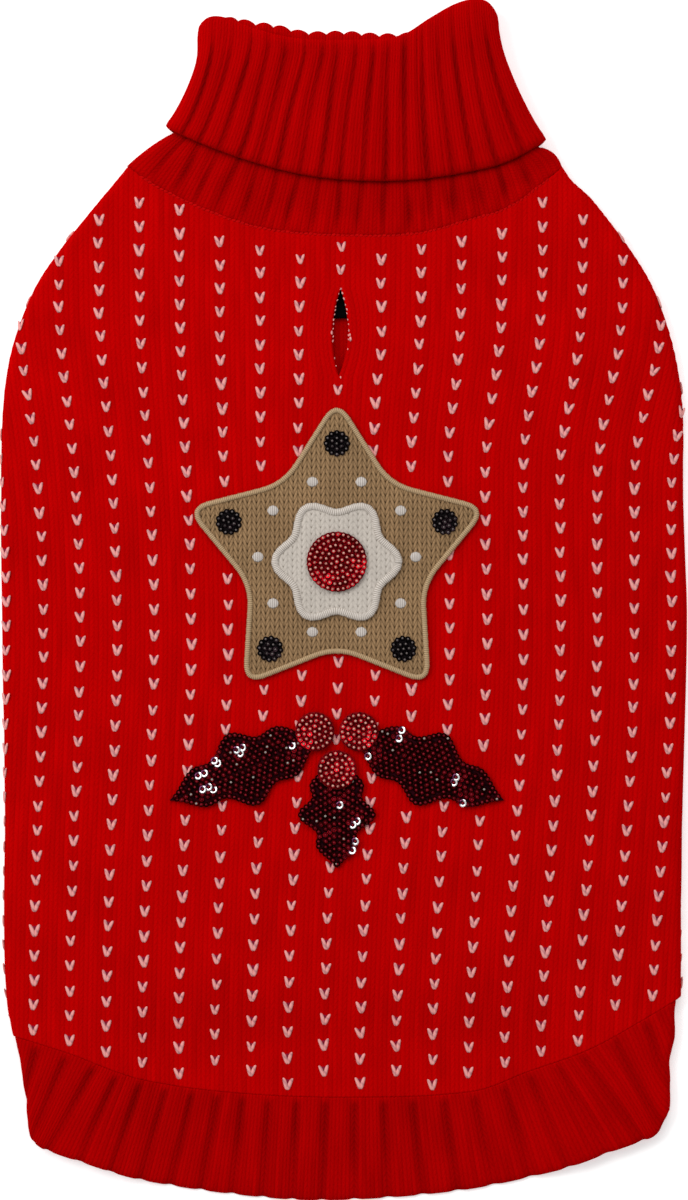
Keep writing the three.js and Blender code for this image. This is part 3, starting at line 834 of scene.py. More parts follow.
@dataclass(frozen=True)
class WovenTape:
    """Polyester satin tape, woven and heat cut: black, close and faintly glossy."""

    name: str
    warp: str
    weft: str
    pitch: float = 0.7

    def build(self) -> Material:
        """Makes the material with crossing threads, drawn coarser than the real 0.2 mm ones, so they show."""
        material, graph = new_material(self.name)
        across = graph.add("ShaderNodeSeparateXYZ", graph.add("ShaderNodeTexCoord", output="Object"))
        warp, weft = (stripes(graph, place, self.pitch * MM) for place in (across, across.node.outputs[1]))
        weave = graph.add("MULTIPLY", warp, weft)
        colour = blend(graph, spread(graph, weave, -1.0, 1.0), linear(self.warp), linear(self.weft))
        finish_surface(graph, colour, 0.7, ((weave, 0.1, 0.5),), Specular_IOR_Level=0.03)
        return material


@dataclass(frozen=True)
class SequinFilm:
    """Coloured polyester film, metallised and punched into cups: sharp small glints over a dark clear colour.

    A sequin's tone runs from the dark colour at tone_low to the bright one at tone_high; it is random tone,
    with painted highlights in patches and painted shade towards each cup's rim.
    """

    name: str
    dark: str
    bright: str
    roughness: float = 0.2
    wear_and_cup_shade: Pair = (-0.07, 0.1)
    tone_low: float = 0.45
    tone_high: float = 0.95

    def build(self) -> Material:
        """Makes the material with a colour of its own for each sequin."""
        material, graph = new_material(self.name)
        scratch = grain(graph, 0.5)
        tone = spread(graph, painted_light_and_tone_of(graph), self.tone_low, self.tone_high)
        colour = blend(graph, tone, linear(self.dark), linear(self.bright))
        gloss = spread(graph, scratch, *NOISE_RANGE, *(self.roughness + more for more in self.wear_and_cup_shade))
        finish_surface(graph, colour, gloss, ((scratch, 0.02, 0.2),), Metallic=1.0)
        return material


@dataclass(frozen=True)
class StudioPaper:
    """White seamless paper on a light table: plain, matt, with a barely seen tooth, faintly lit through."""

    name: str = "white_seamless_paper"
    colour: str = "fbfbfb"
    dip: str = "f8f8f8"
    lit_through: float = 0.36

    def build(self) -> Material:
        """Makes the material with a fine tooth."""
        material, graph = new_material(self.name)
        tooth = grain(graph, 0.8)
        white = linear(self.colour)
        finish_surface(graph, blend(graph, spread(graph, tooth, *NOISE_RANGE), linear(self.dip), white), 0.9,
                       ((tooth, 0.02, 0.1),), Specular_IOR_Level=0.1, Emission_Color=white,
                       Emission_Strength=self.lit_through)
        return material


Finish = AcrylicKnit | PlainYarn | SatinThread | WovenTape | SequinFilm

# The sweater's own yarn is matt and even; the rib's copy of it is painted a little darker, as shade in the
# ribs.
RED_JERSEY = AcrylicKnit("red_acrylic_jersey_knit", yarn="b60102", deep="720102", valley=0.17, tuck=0.05,
                         pit=0.05, streak=0.1)
RED_RIB = AcrylicKnit("red_acrylic_rib_knit", yarn="aa0102", deep="6c0102", valley=0.22, tuck=0.06, pit=0.06,
                      streak=0.12)
RED_YARN = PlainYarn("red_acrylic_linking_yarn", yarn="b60102", deep="a40102")
WHITE_YARN = PlainYarn("white_acrylic_yarn", yarn="e69c97", deep="b57a7e")
# The applique's knits are coarser: deep open stitches with painted shade in their gaps in the tan, and small
# round pits painted dark in the close cream.
TAN_JERSEY = AcrylicKnit("tan_acrylic_jersey_knit", yarn="997a58", deep="281808", valley=0.36, tuck=0.46,
                         pit=0.7, slant=1.3, leg_depth=0.6, mottle=0.16)
CREAM_JERSEY = AcrylicKnit("cream_acrylic_jersey_knit", yarn="c3bab0", deep="5d5346", valley=0.06, tuck=0.07,
                           pit=0.95)
# Rayon gives the edges and the dots their soft gloss, and the woven tape looks black and nearly flat.
DOT_SATIN = SatinThread("white_rayon_satin_stitch", thread="d6cdc6", deep="a39a92")
TAN_SATIN = SatinThread("tan_rayon_satin_stitch", thread="bfa27a", deep="94795a")
CREAM_SATIN = SatinThread("cream_rayon_satin_stitch", thread="dcd3ca", deep="a79c90")
BLACK_TAPE = WovenTape("black_polyester_woven_tape", warp="020202", weft="060505")
# Film glints: bright red, wine red and near black; and a white film that paints the glint of the few cups
# turned up to the key lamp.
RED_SEQUIN = SequinFilm("red_polyester_sequin_film", dark="5c0208", bright="e01424")
WINE_SEQUIN = SequinFilm("wine_polyester_sequin_film", dark="1c0302", bright="640810")
BLACK_SEQUIN = SequinFilm("black_polyester_sequin_film", dark="0b0809", bright="2c1f24")
PAINTED_GLINT_SEQUIN = SequinFilm("painted_glint_sequin_film", dark="5a2c48", bright="ffffff")
# Felt shows as a dull dark ground between the sequins, and thread as a small pale knot in each one.
RED_BACKING = PlainYarn("red_felt_backing", yarn="7c0a10", deep="350306")
WINE_BACKING = PlainYarn("wine_felt_backing", yarn="26020a", deep="0c0003")
BLACK_FELT = PlainYarn("black_felt_backing", yarn="120e10", deep="060405")
ROSE_THREAD = PlainYarn("rose_polyester_thread", yarn="d0988a", deep="944a44")
GREY_THREAD = PlainYarn("grey_polyester_thread", yarn="6c6462", deep="302a2a")
# The wine thread's second colour is a pale painted glint on a few knots.
WINE_THREAD = PlainYarn("wine_polyester_thread", yarn="821a26", deep="4c0a12", painted_shade_and_glint="9a8e88")


# --- Cloth pieces ---


class Hold(Enum):
    """How a cloth piece is held."""

    LAID = "laid"
    FOLDED = "folded"


def add_piece(name: str, form: Form, finish: Finish, slot: str, *nodes: str) -> Piece:
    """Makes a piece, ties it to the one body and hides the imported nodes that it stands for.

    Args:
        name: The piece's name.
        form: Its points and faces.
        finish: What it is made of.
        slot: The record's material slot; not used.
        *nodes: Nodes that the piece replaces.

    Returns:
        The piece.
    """
    piece = to_object(name, form, finish.build())
    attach(piece, "root")
    if nodes:
        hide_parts(*nodes)
    LOG.info("%s: %d faces", piece.name, len(piece.data.polygons))
    return piece


@dataclass(frozen=True)
class LeashSlit:
    """The slit in the back that a leash goes through."""

    x: float = -1.3
    y: float = 112.0
    length: float = 36.7
    width: float = 6.4
    pull: float = 13.0
    rows: int = 16
    least: float = 0.05

    @property
    def ends(self) -> Pair:
        """Heights of its lower and upper ends."""
        return self.y - self.length / 2, self.y + self.length / 2

    def opening(self, y: Array) -> Array:
        """Half of the slit's width at each height."""
        t = (y - self.y) / (self.length / 2)
        return np.where(np.abs(t) < 1, self.width / 2 * (1 - t * t), 0)

    def push(self, away: Array, y: Array) -> Array:
        """How far the open slit pushes cloth aside that lies some way from it."""
        return self.opening(y) * np.exp(-((away / self.pull) ** 2))


@dataclass(frozen=True)
class LegHole:
    """The oval leg holes in the layer underneath, one on each side, and the cuffs that fill their rims."""

    x: float = 106.0
    y: float = 88.0
    opening: Pair = (14.0, 24.0)
    band: float = 10.0

    @property
    def radii(self) -> Array:
        """Half of the cut hole's width and length, a seam outside its cuff."""
        return np.array(self.opening) + self.band + SEAM_GAP

    def near(self, place: Array, clear: float) -> Array:
        """Tells which places lie in a hole or too close to it."""
        out = (together(np.abs(place[:, 0]), place[:, 1]) - (self.x, self.y)) / (self.radii + clear)
        return np.hypot(*out.T) < 1

    def cut(self, flats: Sequence[Array], faces: list[Face], low: Array) -> list[Face]:
        """Cuts both holes, and moves points inside them on to their edges.

        Args:
            flats: Faces of a cloth as points in one order, the first of them measured.
            faces: The polygons of each.
            low: Which points lie in the layer underneath.

        Returns:
            The polygons that are left.
        """
        measured = flats[0][:, :2].copy()
        inside = np.zeros(len(measured), bool)
        for side in (-1, 1):
            middle = np.array([side * self.x, self.y])
            out = (measured - middle) / self.radii
            size = np.hypot(*out.T)
            here = low & (size < 1)
            inside |= here
            for flat in flats:
                flat[here, :2] = middle + out[here] / size[here, None] * self.radii
        return [face for face in faces if not all(inside[i] for i in face)]


SLIT = LeashSlit()
LEG_HOLE = LegHole()


@dataclass
class BackCloth:
    """The back panel: one knitted cloth over the back, wrapped round both sides to seams underneath."""

    per_wale: int = 4
    wales: int = 48
    rows: int = 66
    rows_above: int = 10
    seam_shares: tuple[float, ...] = (0, 0.002, 0.005, 0.009)
    next_share: float = 0.014
    wale_height: float = 0.06
    wale_lean: float = 0.1
    flattened: float = 0.5
    seam_roll: float = 0.05
    seam_roll_width: float = 1.0
    underside_lift: float = 0.35
    bend_from: float = 0.6

    def shares(self) -> Array:
        """Row places from the hem seam to the neck seam, closer at the seams and beside the slit."""
        low, high = HEM_SEAM.at(0), NECK_SEAM.at(0)
        start, end = ((height - low) / (high - low) for height in SLIT.ends)
        edge = np.array(self.seam_shares)
        below = np.linspace(self.next_share, start, self.rows)
        beside = np.linspace(start, end, SLIT.rows + 1)[1:]
        above = np.linspace(end, 1 - self.next_share, self.rows_above + 1)[1:]
        return np.concatenate([edge, below, beside, above, 1 - edge[::-1]])

    def build(self) -> Piece:
        """Builds the cloth with its slit and leg holes."""
        shares = self.shares()[:, None]
        middle = self.wales * self.per_wale
        wale = np.arange(-middle, middle + 1) / self.per_wale
        column = (wale / KNIT_GRID.wales)[None, :]

        def reach_of(y: Array) -> Array:
            """Reach along the wales, held at the cloth's free edges."""
            end = BODY_SIDES.end(y)
            return np.clip(KNIT_GRID.reach(column, y), -end, end)

        y = lay(BODY_SIDES, HEM_SEAM, NECK_SEAM, shares, reach_of, WALL)[..., 1]
        reach = reach_of(y)
        under = BODY_SIDES.under(reach, y, self.bend_from)
        to_seam = np.minimum(shares, 1 - shares) * (NECK_SEAM.at(0) - HEM_SEAM.at(0))
        roll = self.seam_roll * np.clip(1 - to_seam / self.seam_roll_width, 0, 1) ** 2
        wave = self.wale_lean * np.cos(2 * math.pi * wale) - np.cos(4 * math.pi * wale)
        ridge = self.wale_height * wave * (1 - self.flattened * under)
        thick = WALL + ridge - roll - self.underside_lift * under
        sheets = [round_tube(BODY_SIDES, reach, y, t) for t in (thick, 0.0)]
        return self.open_slit(sheets, KNIT_GRID.stitch(KNIT_GRID.column(reach, y), y), middle)

    def open_slit(self, sheets: list[Array], stitch: Array, middle: int) -> Piece:
        """Opens the slit and the leg holes and makes the piece.

        Args:
            sheets: Outer and inner points by row and column.
            stitch: The knit place of each point.
            middle: The column that the slit parts.

        Returns:
            The piece.
        """
        rows, columns = sheets[0].shape[:2]
        left = np.arange(rows * columns).reshape(rows, columns)
        right = left.copy()
        parted = np.nonzero(SLIT.opening(sheets[0][:, middle, 1]) > SLIT.least)[0]
        right[parted, middle] = rows * columns + np.arange(len(parted))
        sides = np.sign(np.arange(columns) - middle)[None, :]
        flats = []
        for sheet in sheets:
            away = np.abs(sheet[..., 0] - sheet[:, middle : middle + 1, 0])
            over = sheet[..., 2] > FOLD_RADIUS
            moved = sheet.copy()
            moved[..., 0] += np.where(over, sides * SLIT.push(away, sheet[..., 1]), 0)
            other = moved[parted, middle].copy()
            reach = SLIT.opening(other[:, 1])
            moved[parted, middle, 0] -= reach
            other[:, 0] += reach
            flats.append(np.concatenate([moved.reshape(-1, 3), other]))
        stitch = np.concatenate([stitch.reshape(-1, 2), stitch[parted, middle]])
        faces = LEG_HOLE.cut(flats, grid_faces(left, right), flats[0][:, 2] < FOLD_RADIUS)
        form = close_shell(*flats, faces, stitch)
        return add_piece("back_knit", form, RED_JERSEY, "red_knit", "back_panel")


@dataclass
class BellyCloth:
    """The belly panel: flat cloth between the back's wrapped sides, from the neck to a ribbed band."""

    lower: float = -125.0
    columns: int = 108
    rows: int = 96
    lift: float = 0.1

    def side(self, side: int, y: Array) -> Array:
        """The belly's edge on one side, a seam in from the back's free edge."""
        edge = BODY_SIDES.half_flat(y) - FLAP_WIDTH + FOLD_RADIUS
        return BODY_SIDES.middle(y) + side * (edge - SEAM_GAP)

    def build(self) -> Piece:
        """Builds the belly panel."""
        share = np.linspace(0, 1, self.rows)[:, None]
        across = np.linspace(0, 1, self.columns)[None, :]
        y = mix(self.lower, NECK_SEAM.at(0), share) + 0 * across
        for _ in range(SETTLE_PASSES):
            x = mix(self.side(-1, y), self.side(1, y), across)
            y = mix(y, mix(self.lower, NECK_SEAM.at(x), share), SETTLE_SHARE)
        place = together(x, y).reshape(-1, 2)
        faces = LEG_HOLE.cut([place], plain_faces(*y.shape), np.ones(len(place), bool))
        wale = x / (KNIT_GRID.column_pitch.at(y) / KNIT_GRID.wales)
        ridge = self.lift * (1 - np.cos(2 * math.pi * wale.reshape(-1))) / 2
        top, bottom = (np.column_stack([place, height + 0 * ridge]) for height in (WALL, ridge))
        form = close_shell(top, bottom, faces, together(wale, y / COURSE).reshape(-1, 2))
        return add_piece("belly_knit", form, RED_JERSEY, "red_knit", "belly_panel")


def groove_at(rib: Array, half: float) -> Array:
    """How deep a rib pattern is: 1 in the groove at each whole rib number, 0 on the ribs between."""
    off = np.abs(rib - np.round(rib))
    return np.exp(-((off / half) ** 2))


@dataclass
class HemRibbing:
    """The ribbed hem under the back panel, wrapped round both sides as the cloth above it is.

    Its grooves lean and fan out from the seam to the rim. The tables give each groove's X by its number.
    """

    near_seam: Curve = Curve(
        ((-10, -107.8), (-8, -87.4), (-6, -65.2), (-3, -31.8), (-1, -8), (0, 4.5), (2, 29.6), (4, 56.2),
         (6, 81), (8, 104.4))
    )
    near_rim: Curve = Curve(
        ((-10, -120.2), (-8, -95), (-6, -70.9), (-3, -33.4), (-1, -9), (0, 4.3), (2, 32), (4, 61), (6, 90.8),
         (8, 120.2))
    )
    shares: Pair = (0.2, 0.8)
    wrapped: float = 6.0
    depth: float = 1.0
    half_groove: float = 0.15
    columns_a_rib: int = 16
    rim_rows: tuple[float, ...] = (0, 0.012, 0.03)
    rows: int = 25
    rows_between: Pair = (0.06, 0.965)
    seam_rows: tuple[float, ...] = (0.985, 1.0)
    wales_a_rib: int = 4
    rim_depth: float = 0.55
    right_loss: float = 0.45
    seam_fade: Pair = (0.8, 4.5)
    rim_roll: float = 0.9
    rim_roll_width: float = 2.4
    wale_height: float = 0.05
    seam_roll: float = 0.05
    bend_from: float = 0.5
    under_loss: float = 0.3
    scallop: float = 0.5
    scallop_width: float = 3.0
    shade: float = 0.6

    def reach(self, rib: Array, share: Array, y: Array) -> Array:
        """How far round the tube a rib number lies at a share of the hem's height."""
        first, last = self.near_rim.rows[0][0], self.near_rim.rows[-1][0]
        held = np.clip(rib, first, last)
        low, high = self.shares
        shown = mix(self.near_rim.at(held), self.near_seam.at(held), (share - low) / (high - low))
        shown = shown - HEM_SIDES.middle(y)
        end = HEM_SIDES.end(y)
        past_right = np.clip((rib - last) / self.wrapped, 0, 1)
        past_left = np.clip((first - rib) / self.wrapped, 0, 1)
        return shown + past_right * (end - shown) - past_left * (end + shown)

    def build(self) -> Piece:
        """Builds the hem's ribs, shallower at the rim and to the right."""
        first, last = self.near_rim.rows[0][0] - self.wrapped, self.near_rim.rows[-1][0] + self.wrapped
        rib = np.linspace(first, last, int((last - first) * self.columns_a_rib) + 1)[None, :]
        between = np.linspace(*self.rows_between, self.rows)
        rows = np.concatenate([self.rim_rows, between, self.seam_rows])[:, None]
        upper = Curve(tuple((x, y - SEAM_JOIN) for x, y in HEM_SEAM.rows))
        laid = lay(HEM_SIDES, HEM_RIM, upper, rows, lambda y: self.reach(rib, rows, y), WALL)
        x, y = laid[..., 0], laid[..., 1]
        reach = self.reach(rib, rows, y)
        length = upper.at(x) - HEM_RIM.at(x)
        from_rim, from_seam = rows * length, (1 - rows) * length
        held = mix(self.rim_depth, 1.0, ease(rows, 0.1, 0.75)) * (1 - self.right_loss * ease(x, 20, 110))
        groove = groove_at(rib, self.half_groove) * held * ease(from_seam, *self.seam_fade)
        rim = self.rim_roll * np.clip(1 - from_rim / self.rim_roll_width, 0, 1) ** 2
        wale = self.wale_height * np.cos(2 * math.pi * rib * self.wales_a_rib)
        seam = self.seam_roll * np.clip(1 - from_seam, 0, 1) ** 2
        under = HEM_SIDES.under(reach, y, self.bend_from)
        cut = self.depth * groove * (1 - self.under_loss * under)
        thick = WALL - cut - rim - seam + wale * (1 - under)
        sheets = [round_tube(HEM_SIDES, reach, y, t) for t in (thick, 0.0)]
        near_rim = np.clip(1 - from_rim / self.scallop_width, 0, 1)
        for sheet in sheets:
            sheet[..., 1] += self.scallop * groove_at(rib, self.half_groove) * near_rim
        # Painted shade in the grooves.
        form = cloth_wall(*sheets, together(rib * self.wales_a_rib, y / COURSE), self.shade * groove)
        return add_piece("hem_ribbing", form, RED_RIB, "red_rib", "hem_rib")


@dataclass(frozen=True)
class PlainRib:
    """The even rib of the pieces underneath, which all face down."""

    depth: float = 1.0
    half_groove: float = 0.15
    first: float = 0.2
    columns_a_rib: int = 12
    # Painted shade in the grooves of the ribs underneath.
    shade: float = 0.7

    def groove(self, rib: Array) -> Array:
        """How deep the rib pattern is at each rib number."""
        return groove_at(rib + self.first, self.half_groove)


PLAIN_RIB = PlainRib()


@dataclass
class BellyRibbing:
    """The ribbed band along the belly's lower edge."""

    lower: float = BELLY_BAND_LOWER
    upper: float = BellyCloth.lower - SEAM_GAP
    ribs: int = 17
    last_rib: float = 16.6
    rows: int = 10
    wales_a_rib: int = 4

    def build(self) -> Piece:
        """Builds the band."""
        belly = BellyCloth()
        rib = np.linspace(0, self.last_rib, self.ribs * PLAIN_RIB.columns_a_rib)[None, :]
        share = rib / self.last_rib
        y = np.linspace(self.lower, self.upper, self.rows)[:, None] + 0 * share
        x = mix(belly.side(-1, y), belly.side(1, y), share)
        groove = PLAIN_RIB.groove(rib) + 0 * y
        stitch = together(rib * self.wales_a_rib, y / COURSE)
        top, bottom = together(x, y, WALL), together(x, y, PLAIN_RIB.depth * groove)
        # Painted shade in the grooves.
        form = cloth_wall(top, bottom, stitch, PLAIN_RIB.shade * groove)
        return add_piece("belly_ribbing", form, RED_RIB, "red_rib", "belly_rib")


@dataclass
class CuffRibbing:
    """A flat ribbed cuff round one leg hole."""

    name: str
    node: str
    side: int
    ribs: int = 24
    rows: int = 6
    wales_a_rib: int = 2
    edge: float = 0.4
    edge_width: float = 2.0

    def build(self) -> Piece:
        """Builds the cuff, thinner at the edge of its opening."""
        rib = (np.arange(self.ribs * PLAIN_RIB.columns_a_rib) / PLAIN_RIB.columns_a_rib)[None, :]
        turn = 2 * math.pi * rib / self.ribs
        more = np.linspace(0, LEG_HOLE.band, self.rows)[:, None]
        x = self.side * LEG_HOLE.x + (LEG_HOLE.opening[0] + more) * np.cos(turn)
        y = LEG_HOLE.y + (LEG_HOLE.opening[1] + more) * np.sin(turn)
        groove = PLAIN_RIB.groove(rib) + 0 * x
        edge = self.edge * np.clip(1 - more / self.edge_width, 0, 1)
        top = together(x, y, WALL - edge)
        bottom = together(x, y, PLAIN_RIB.depth * groove + edge * (1 - groove))
        stitch = together(rib * self.wales_a_rib, more / COURSE)
        # Painted shade in the grooves.
        form = cloth_wall(top, bottom, stitch, PLAIN_RIB.shade * groove, ring=True)
        return add_piece(self.name, form, RED_RIB, "red_rib", self.node)


@dataclass(frozen=True)
class CollarLine:
    """One line round the flattened collar: its ends and its front and back heights by X."""

    left: float
    right: float
    edge: float
    front: Curve
    back: Curve
    lean: float

    def across(self, share: Array) -> Array:
        """X at a share of the line's length, with the ribs pushed along it by its lean."""
        return mix(self.left, self.right, share + self.lean * 4 * share * (1 - share))


@dataclass
class CollarRibbing:
    """The ribbed collar: one ring that stands up from the neck seam and turns down over itself."""

    ribs: int = 18
    depth: float = 1.1
    half_groove: float = 0.14
    first: float = 0.07
    stray: Pair = (0.045, 0.03)
    uneven: float = 0.18
    half_way: Triple = (0.38, 0.07, 0.88)
    stretched_loss: float = 0.85
    wale_height: float = 0.06
    # Painted shade in the grooves, and a painted shadow under the turned-down rim.
    shade: float = 0.78
    rim_shadow_strength: float = 0.6
    thick: float = 6.7
    tall: float = 68.0
    length: float = 159.4
    end_steps: tuple[float, ...] = (0.15, 0.5, 1.0, 1.8, 2.8, 4.2)
    end_gap: float = 0.003
    end_fade: Pair = (3.0, 8.0)
    bow: Pair = (4.6, 4.2)
    lobe: Pair = (0.5, 1.4)
    tucked_line: float = 0.94
    end_ease: float = 16.0
    columns_a_rib: int = 18
    steps: int = 104
    wales_a_rib: int = 3
    scallop: float = 1.7
    scallop_pitch: float = 7.4
    least_height: float = 0.02
    profile: tuple[tuple[float, float, float, float, float], ...] = (
        (0, 0, 3.1, 3.1, 0.1), (0.4, 0, 4.3, 3.3, 0.9), (0.94, 0, 6.7, 3.0, 0.6), (1.5, 0, 6.7, 2.8, 0),
        (2, -4.6, 6.7, 2.8, 0), (2, -3.4, 6.7, 3.1, 0), (2, -4.6, 6.7, 3.4, 0), (1.5, 0, 6.7, 3.4, 0),
        (1, 0.8, 6.7, 3.5, 0), (1, 0, 6.7, 4.6, 0.3), (1, 0.9, 6.7, 6.3, 1), (1.1, 0, 6.7, 6.7, 1),
        (1.55, 0, 6.7, 6.7, 1), (2, -6.5, 6.7, 6.7, 0.9), (2, -1.6, 6.7, 6.1, 0.35), (2, 0, 6.7, 3.8, 0.1),
        (2, -1.2, 6.7, 1.3, 0), (2, -3.6, 6.7, 0.4, 0), (1.5, 0, 6.7, 0.4, 0), (0.94, 0, 6.7, 0.4, 0),
        (0.4, 0, 4.3, 0.7, 0), (0, 0, 3.1, 0.9, 0),
    )

    def lines(self) -> tuple[CollarLine, CollarLine, CollarLine]:
        """The neck seam, the turned-down rim and the fold."""
        seam = Curve(tuple((x, y + SEAM_JOIN) for x, y in NECK_SEAM.rows))
        rim = Curve(
            ((-76, 198.4), (-68, 194), (-44, 184.6), (-18.5, 177.7), (7, 174.9), (32, 175.6), (57, 179.6),
             (70, 183.6), (86, 192.6))
        )
        fold_front = Curve(
            ((-61.4, 241), (-56, 243.6), (-50, 243.4), (-38, 239), (-22, 235), (4, 234), (24, 236),
             (36, 243.2), (46, 248.8), (54, 251), (60, 249.9), (65, 245.2))
        )
        fold_back = Curve(
            ((-61.4, 241), (-50, 244.2), (-37, 241.8), (-30, 241), (-16, 238), (0, 238), (16, 237),
             (28, 237.8), (42, 246.2), (54, 251), (60, 249.9), (65, 245.2))
        )
        return (
            CollarLine(-91, 91.6, FOLD_RADIUS, seam, seam, -0.02),
            CollarLine(-75, 85, self.thick, rim, rim, -0.035),
            CollarLine(-61.4, 64.9, self.thick, fold_front, fold_back, 0.029),
        )

    def dense_profile(self) -> Array:
        """The wall's closed profile in small steps: its rows' five values and each step's place along it."""
        rows = np.array(self.profile)
        spot = np.column_stack([rows[:, 0] * self.tall / 2 + rows[:, 1], rows[:, 2] + rows[:, 3]])
        loop = np.concatenate([rows[-2:], rows, rows[:2]])
        along_wall = length_along(np.concatenate([spot[-2:], spot, spot[:2]]))
        weights = np.diff(along_wall)[2:-1]
        counts = np.maximum(2, np.round(weights / weights.sum() * self.steps)).astype(int)
        place = np.concatenate([
            np.linspace(along_wall[2 + i], along_wall[3 + i], n, endpoint=False) for i, n in enumerate(counts)
        ])
        dense = [Curve(tuple(zip(along_wall.tolist(), column.tolist()))).at(place) for column in loop.T]
        dense[0] = np.clip(dense[0], 0, 2)
        dense[4] = np.clip(dense[4], 0, 1)
        return np.column_stack([*dense, place])

    def round_places(self) -> tuple[Array, Array]:
        """Places round the collar from one end to the other and back.

        Returns:
            Each place's share of the collar's width, and its side: 1 above and -1 below.
        """
        count = self.ribs * self.columns_a_rib
        ends = np.array(self.end_steps) / self.length
        even = np.arange(1, count) / count
        even = even[(even > ends[-1] + self.end_gap) & (even < 1 - ends[-1] - self.end_gap)]
        top = np.concatenate([[0], ends, even, 1 - ends[::-1]])
        share = np.concatenate([top, [1], top[:0:-1]])
        return share[None, :], np.where(np.arange(len(share)) < len(top), 1.0, -1.0)[None, :]

    def groove(self, rib: Array, line: Array) -> Array:
        """How deep the rib pattern is: a little uneven, and nearly flat where the fold's ends stretch it.

        Args:
            rib: Rib numbers.
            line: Places up the wall: 0 at the neck seam, 1 at the rim and 2 at the fold.

        Returns:
            The depth, from 0 to 1.
        """
        share, whole = rib / self.ribs, np.round(rib)
        wide, narrow = self.stray
        place = rib + wide * np.sin(1.9 * rib + 2.6 * line) + narrow * np.sin(5.3 * line + 4.4 * whole)
        even = 1 - self.uneven + self.uneven * np.sin(2.7 * whole + 3.4 * line)
        groove = groove_at(place + self.first, self.half_groove * (0.8 + 0.4 * even)) * even
        at, half, depth = self.half_way
        groove = np.clip(groove + depth * groove_at(place + at, half) * (1 - even), 0, 1)
        stretched = np.maximum(1 - ease(share, 0.1, 0.24), ease(share, 0.7, 0.8))
        return groove * (1 - self.stretched_loss * stretched * ease(line, 1.72, 1.98))

    def spots(self, line: Array, inner: Array, share: Array, side: Array) -> Array:
        """Where the flattened collar's middle runs, between its three lines.

        Args:
            line: Places up the wall.
            inner: Half of the collar's thickness at each place up the wall.
            share: Places round the collar.
            side: The side of each.

        Returns:
            X, Y and the distance in from the rounded end, as three grids.
        """
        spots = []
        for one in self.lines():
            inset = one.edge - np.minimum(inner, one.edge)
            away = np.minimum(share, 1 - share) * (one.right - one.left)
            drawn = inset * np.maximum(0, 1 - away / self.end_ease)
            x = one.across(share) + np.where(share < 0.5, 1, -1) * drawn
            y = np.where(side > 0, one.front.at(x), one.back.at(x))
            spots.append(np.stack([x, y, away + drawn - inset]))
        upper = line >= 1
        return mix(np.where(upper, spots[1], spots[0]), np.where(upper, spots[2], spots[1]), line - upper)

    def build(self) -> Piece:
        """Builds the collar as one closed skin."""
        line, up, middle, half, rib_here, wall_place = (column[:, None] for column in self.dense_profile().T)
        share, side = self.round_places()
        at = self.spots(line, half, share, side)
        rib = share * self.ribs
        near_end = ease(np.minimum(share, 1 - share) * self.length, *self.end_fade)
        groove = self.groove(rib, line)
        # Painted shadow: a thin dark band on the stand just under the turned-down rim.
        painted_rim_shadow = ease(line, 0.93, 0.99) * (1 - ease(half, 4.2, 5.0)) * (line < 1.2)
        wale = self.wale_height * np.cos(2 * math.pi * rib * self.wales_a_rib)
        half = half - (self.depth * groove + wale) * rib_here * near_end
        bend = np.sqrt(np.clip(1 - np.clip(1 - at[2] / half, 0, 1) ** 2, 0, 1))
        upper, on_left, ends = line >= 1, share < 0.5, (2 * share - 1) ** 2
        bulge = np.sin(math.pi * np.clip(line - upper, 0, 1))
        lobe = np.where(on_left, *self.lobe) * bulge * ends**6 * (line < self.tucked_line)
        bow = np.where(upper, np.where(on_left, *self.bow) * bulge * ends, -lobe)
        x = at[0] + np.where(on_left, 1, -1) * bow
        y = at[1] + up + lobe
        back_top = ease(line, 1.86, 1.97) * (side < 0) * ease(x, -52, -44) * (1 - ease(x, 34, 44))
        y = y + back_top * self.scallop * (np.abs(np.sin(math.pi * x / self.scallop_pitch)) ** 0.7 - 0.55)
        points = together(x, y, np.maximum(middle + side * half * bend, self.least_height)).reshape(-1, 3)
        stitch = together(rib * self.wales_a_rib, wall_place / COURSE).reshape(-1, 2)
        # Painted shade: darker in the rib grooves, plus the painted shadow under the rim.
        dark = self.shade * groove * rib_here * near_end + self.rim_shadow_strength * painted_rim_shadow
        form = Form(points, loop_faces(*x.shape), stitch, np.clip(dark, 0, 1).reshape(-1))
        return add_piece("collar_ribbing", form, RED_RIB, "red_rib", "collar")


@dataclass
class NeckLinking:
    """The row of linking stitches that joins the collar to the back: a low ridge of small loops."""

    pitch: float = 1.93
    reach: float = 86.0
    half: Triple = (0.95, 0.7, 0.1)
    above: float = 0.15
    slant: float = 0.35
    stand: float = 0.02

    def build(self) -> Piece:
        """Builds the ridge along the neck seam."""
        x = np.linspace(-self.reach, self.reach, 600)
        y = NECK_SEAM.at(x) + self.above
        length = length_along(together(x, y))
        places = np.arange(self.pitch, length[-1], self.pitch)
        angle = np.arctan2(np.gradient(y), np.gradient(x)) + self.slant
        x, y, angle = (np.interp(places, length, values) for values in (x, y, angle))
        height = top_inside(x, y) + swelling(x, y) + WALL + self.stand
        form = repeated(pebble(*self.half), together(x, y, height), spins(angle))
        return add_piece("neck_linking_stitches", form, RED_YARN, "red_rib")


